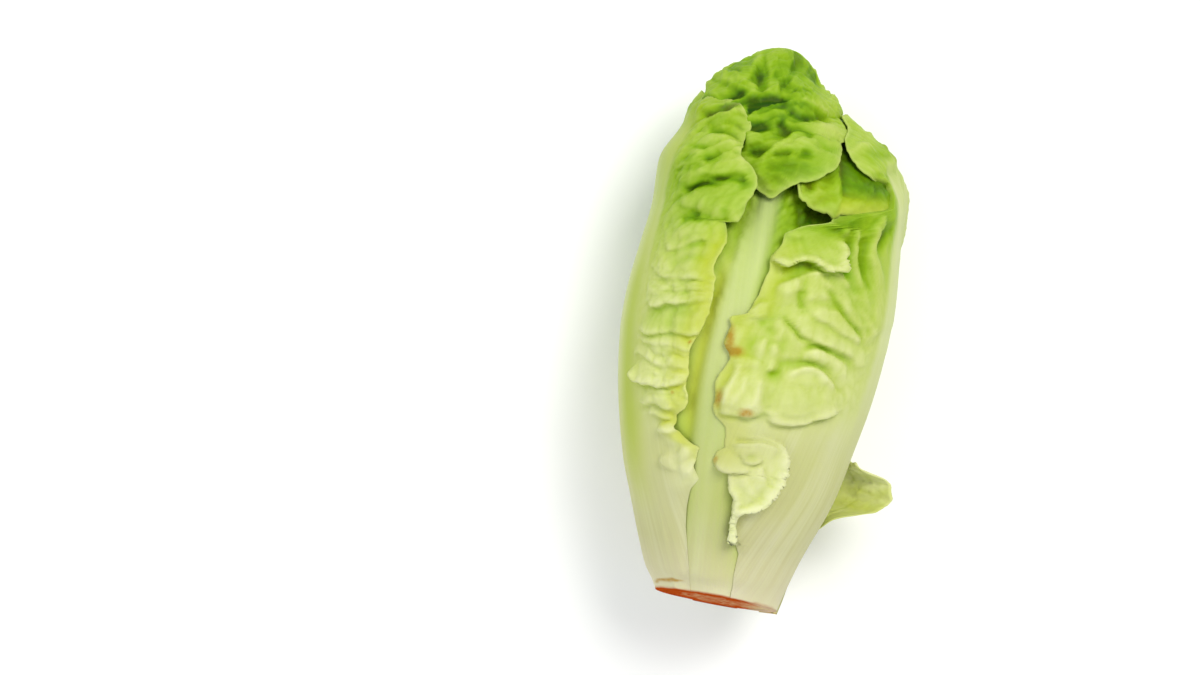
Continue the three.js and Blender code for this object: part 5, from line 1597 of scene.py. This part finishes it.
def makeStem(material, sheets):
    sides = stem["sides"]
    turns = np.arange(sides) * 360 / sides
    flare = flareAt(turns, sheets)
    shareAt = curveThrough(stem["rings"])
    rows = [place(turns, np.zeros(sides), flare * f) for f in np.linspace(1, 0.04, stem["faceRings"])[::-1]]
    faceCount = len(rows)
    for along in np.linspace(0, stem["rings"][-1][0], stem["sideRings"])[1:]:
        plain = stem["radius"] * float(shareAt(along))
        radius = mix(flare, plain, smoothStep(0, stem["flareReach"], along))
        rows.append(place(turns, np.full(sides, along), radius))
    points = np.array(rows)
    for i, row in enumerate(points):
        grain = 0
        if i < faceCount:
            grain = roughNoise(np.stack([row[:, 0], row[:, 2]], -1), stem["grainSize"], stem["grainSeed"], 3)
        cut = cutLift(row[:, 0], row[:, 2]) + stem["grain"] * (grain + 0.6)
        row[:, 1] += cut * (1 - smoothStep(0, heart["cutReach"], row[:, 1]))
    flat = np.concatenate([points.reshape(-1, 3), [points[0].mean(0)], [points[-1].mean(0)]])
    count = len(points)
    index = wrapped(np.arange(count * sides).reshape(count, sides))
    middle, tip = count * sides, count * sides + 1
    near = np.stack([index[0][1:], index[0][:-1], np.full(sides, middle)], -1)
    far = np.stack([index[-1][:-1], index[-1][1:], np.full(sides, tip)], -1)
    mesh = meshFrom("cutStem", flat, quadsOf(index), np.concatenate([near, far]))
    fromMiddle = np.hypot(flat[:, 0], flat[:, 2])
    onFace = np.arange(len(flat)) < faceCount * sides
    onFace[middle] = True
    zero = np.zeros(len(flat))
    rimward = stem["browned"] + stem["rimBrowned"] * smoothStep(10, 15, fromMiddle)
    browned = np.where(onFace, rimward, 0) * paleCut(flat[:, 0])
    paintOn(mesh, "tint", (zero + 0.05, zero, zero))
    paintOn(mesh, "mark", (zero + 0.5, zero, browned))
    paintOn(mesh, "blade", (zero, zero, zero))
    vectorsOn(mesh, "veinPlace", flat)
    mesh.materials.append(material)
    piece = bpy.data.objects.new("cutStem", mesh)
    bpy.context.scene.collection.objects.link(piece)
    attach(piece, "root")
    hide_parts("cut_stem")


# Camera, floor and light.
def makeStudio():
    scene = bpy.context.scene
    cameraData = bpy.data.cameras.new("camera")
    cameraData.lens, cameraData.sensor_width = studio["lens"], studio["sensor"]
    camera = bpy.data.objects.new("camera", cameraData)
    camera.location = (axisPlace + studio["camera"]) / 1000
    camera.rotation_euler = (0, 0, math.radians(studio["roll"]))
    scene.collection.objects.link(camera)
    scene.camera = camera

    bpy.ops.mesh.primitive_plane_add(size=studio["floorSize"], location=(0, 0, studio["floorLevel"]))
    floor = bpy.context.object
    floor.name = "floor"
    paper = bpy.data.materials.new("paleFloor")
    paper.use_nodes = True
    surface = paper.node_tree.nodes["Principled BSDF"]
    surface.inputs["Base Color"].default_value = (*studio["floor"], 1)
    surface.inputs["Roughness"].default_value = studio["floorRoughness"]
    floor.data.materials.append(paper)

    world = bpy.data.worlds.new("studio")
    world.use_nodes = True
    scene.world = world
    sky = world.node_tree.nodes["Background"]
    sky.inputs["Color"].default_value = (*studio["sky"], 1)
    sky.inputs["Strength"].default_value = studio["skyStrength"]
    for name, (at, size, power, tone) in studio["lights"].items():
        light = bpy.data.lights.new(name, "AREA")
        light.size, light.energy, light.color = size, power, tone
        lamp = bpy.data.objects.new(name, light)
        lamp.location = at
        lamp.rotation_euler = Vector(at).to_track_quat("Z", "Y").to_euler()
        scene.collection.objects.link(lamp)
    scene.view_settings.view_transform = "Standard"


makeStudio()
print("camera, floor and light are set")
flesh = leafMaterial()
markStem()
sheets = [*makeInnerLeaves(), makeMiddleLeaf(), makeInnerHoodLeaf(), makeCrownLeaf(), makeRightLeaf(),
    makeLeftLeaf(), makeSideLeaf()]
print("the leaves are laid")
makeStem(flesh, sheets)
print("the stem is made")
tree = blisterTree()
for sheet in sheets:
    finishedLeaf(sheet, tree, flesh)
print("the leaves are made")
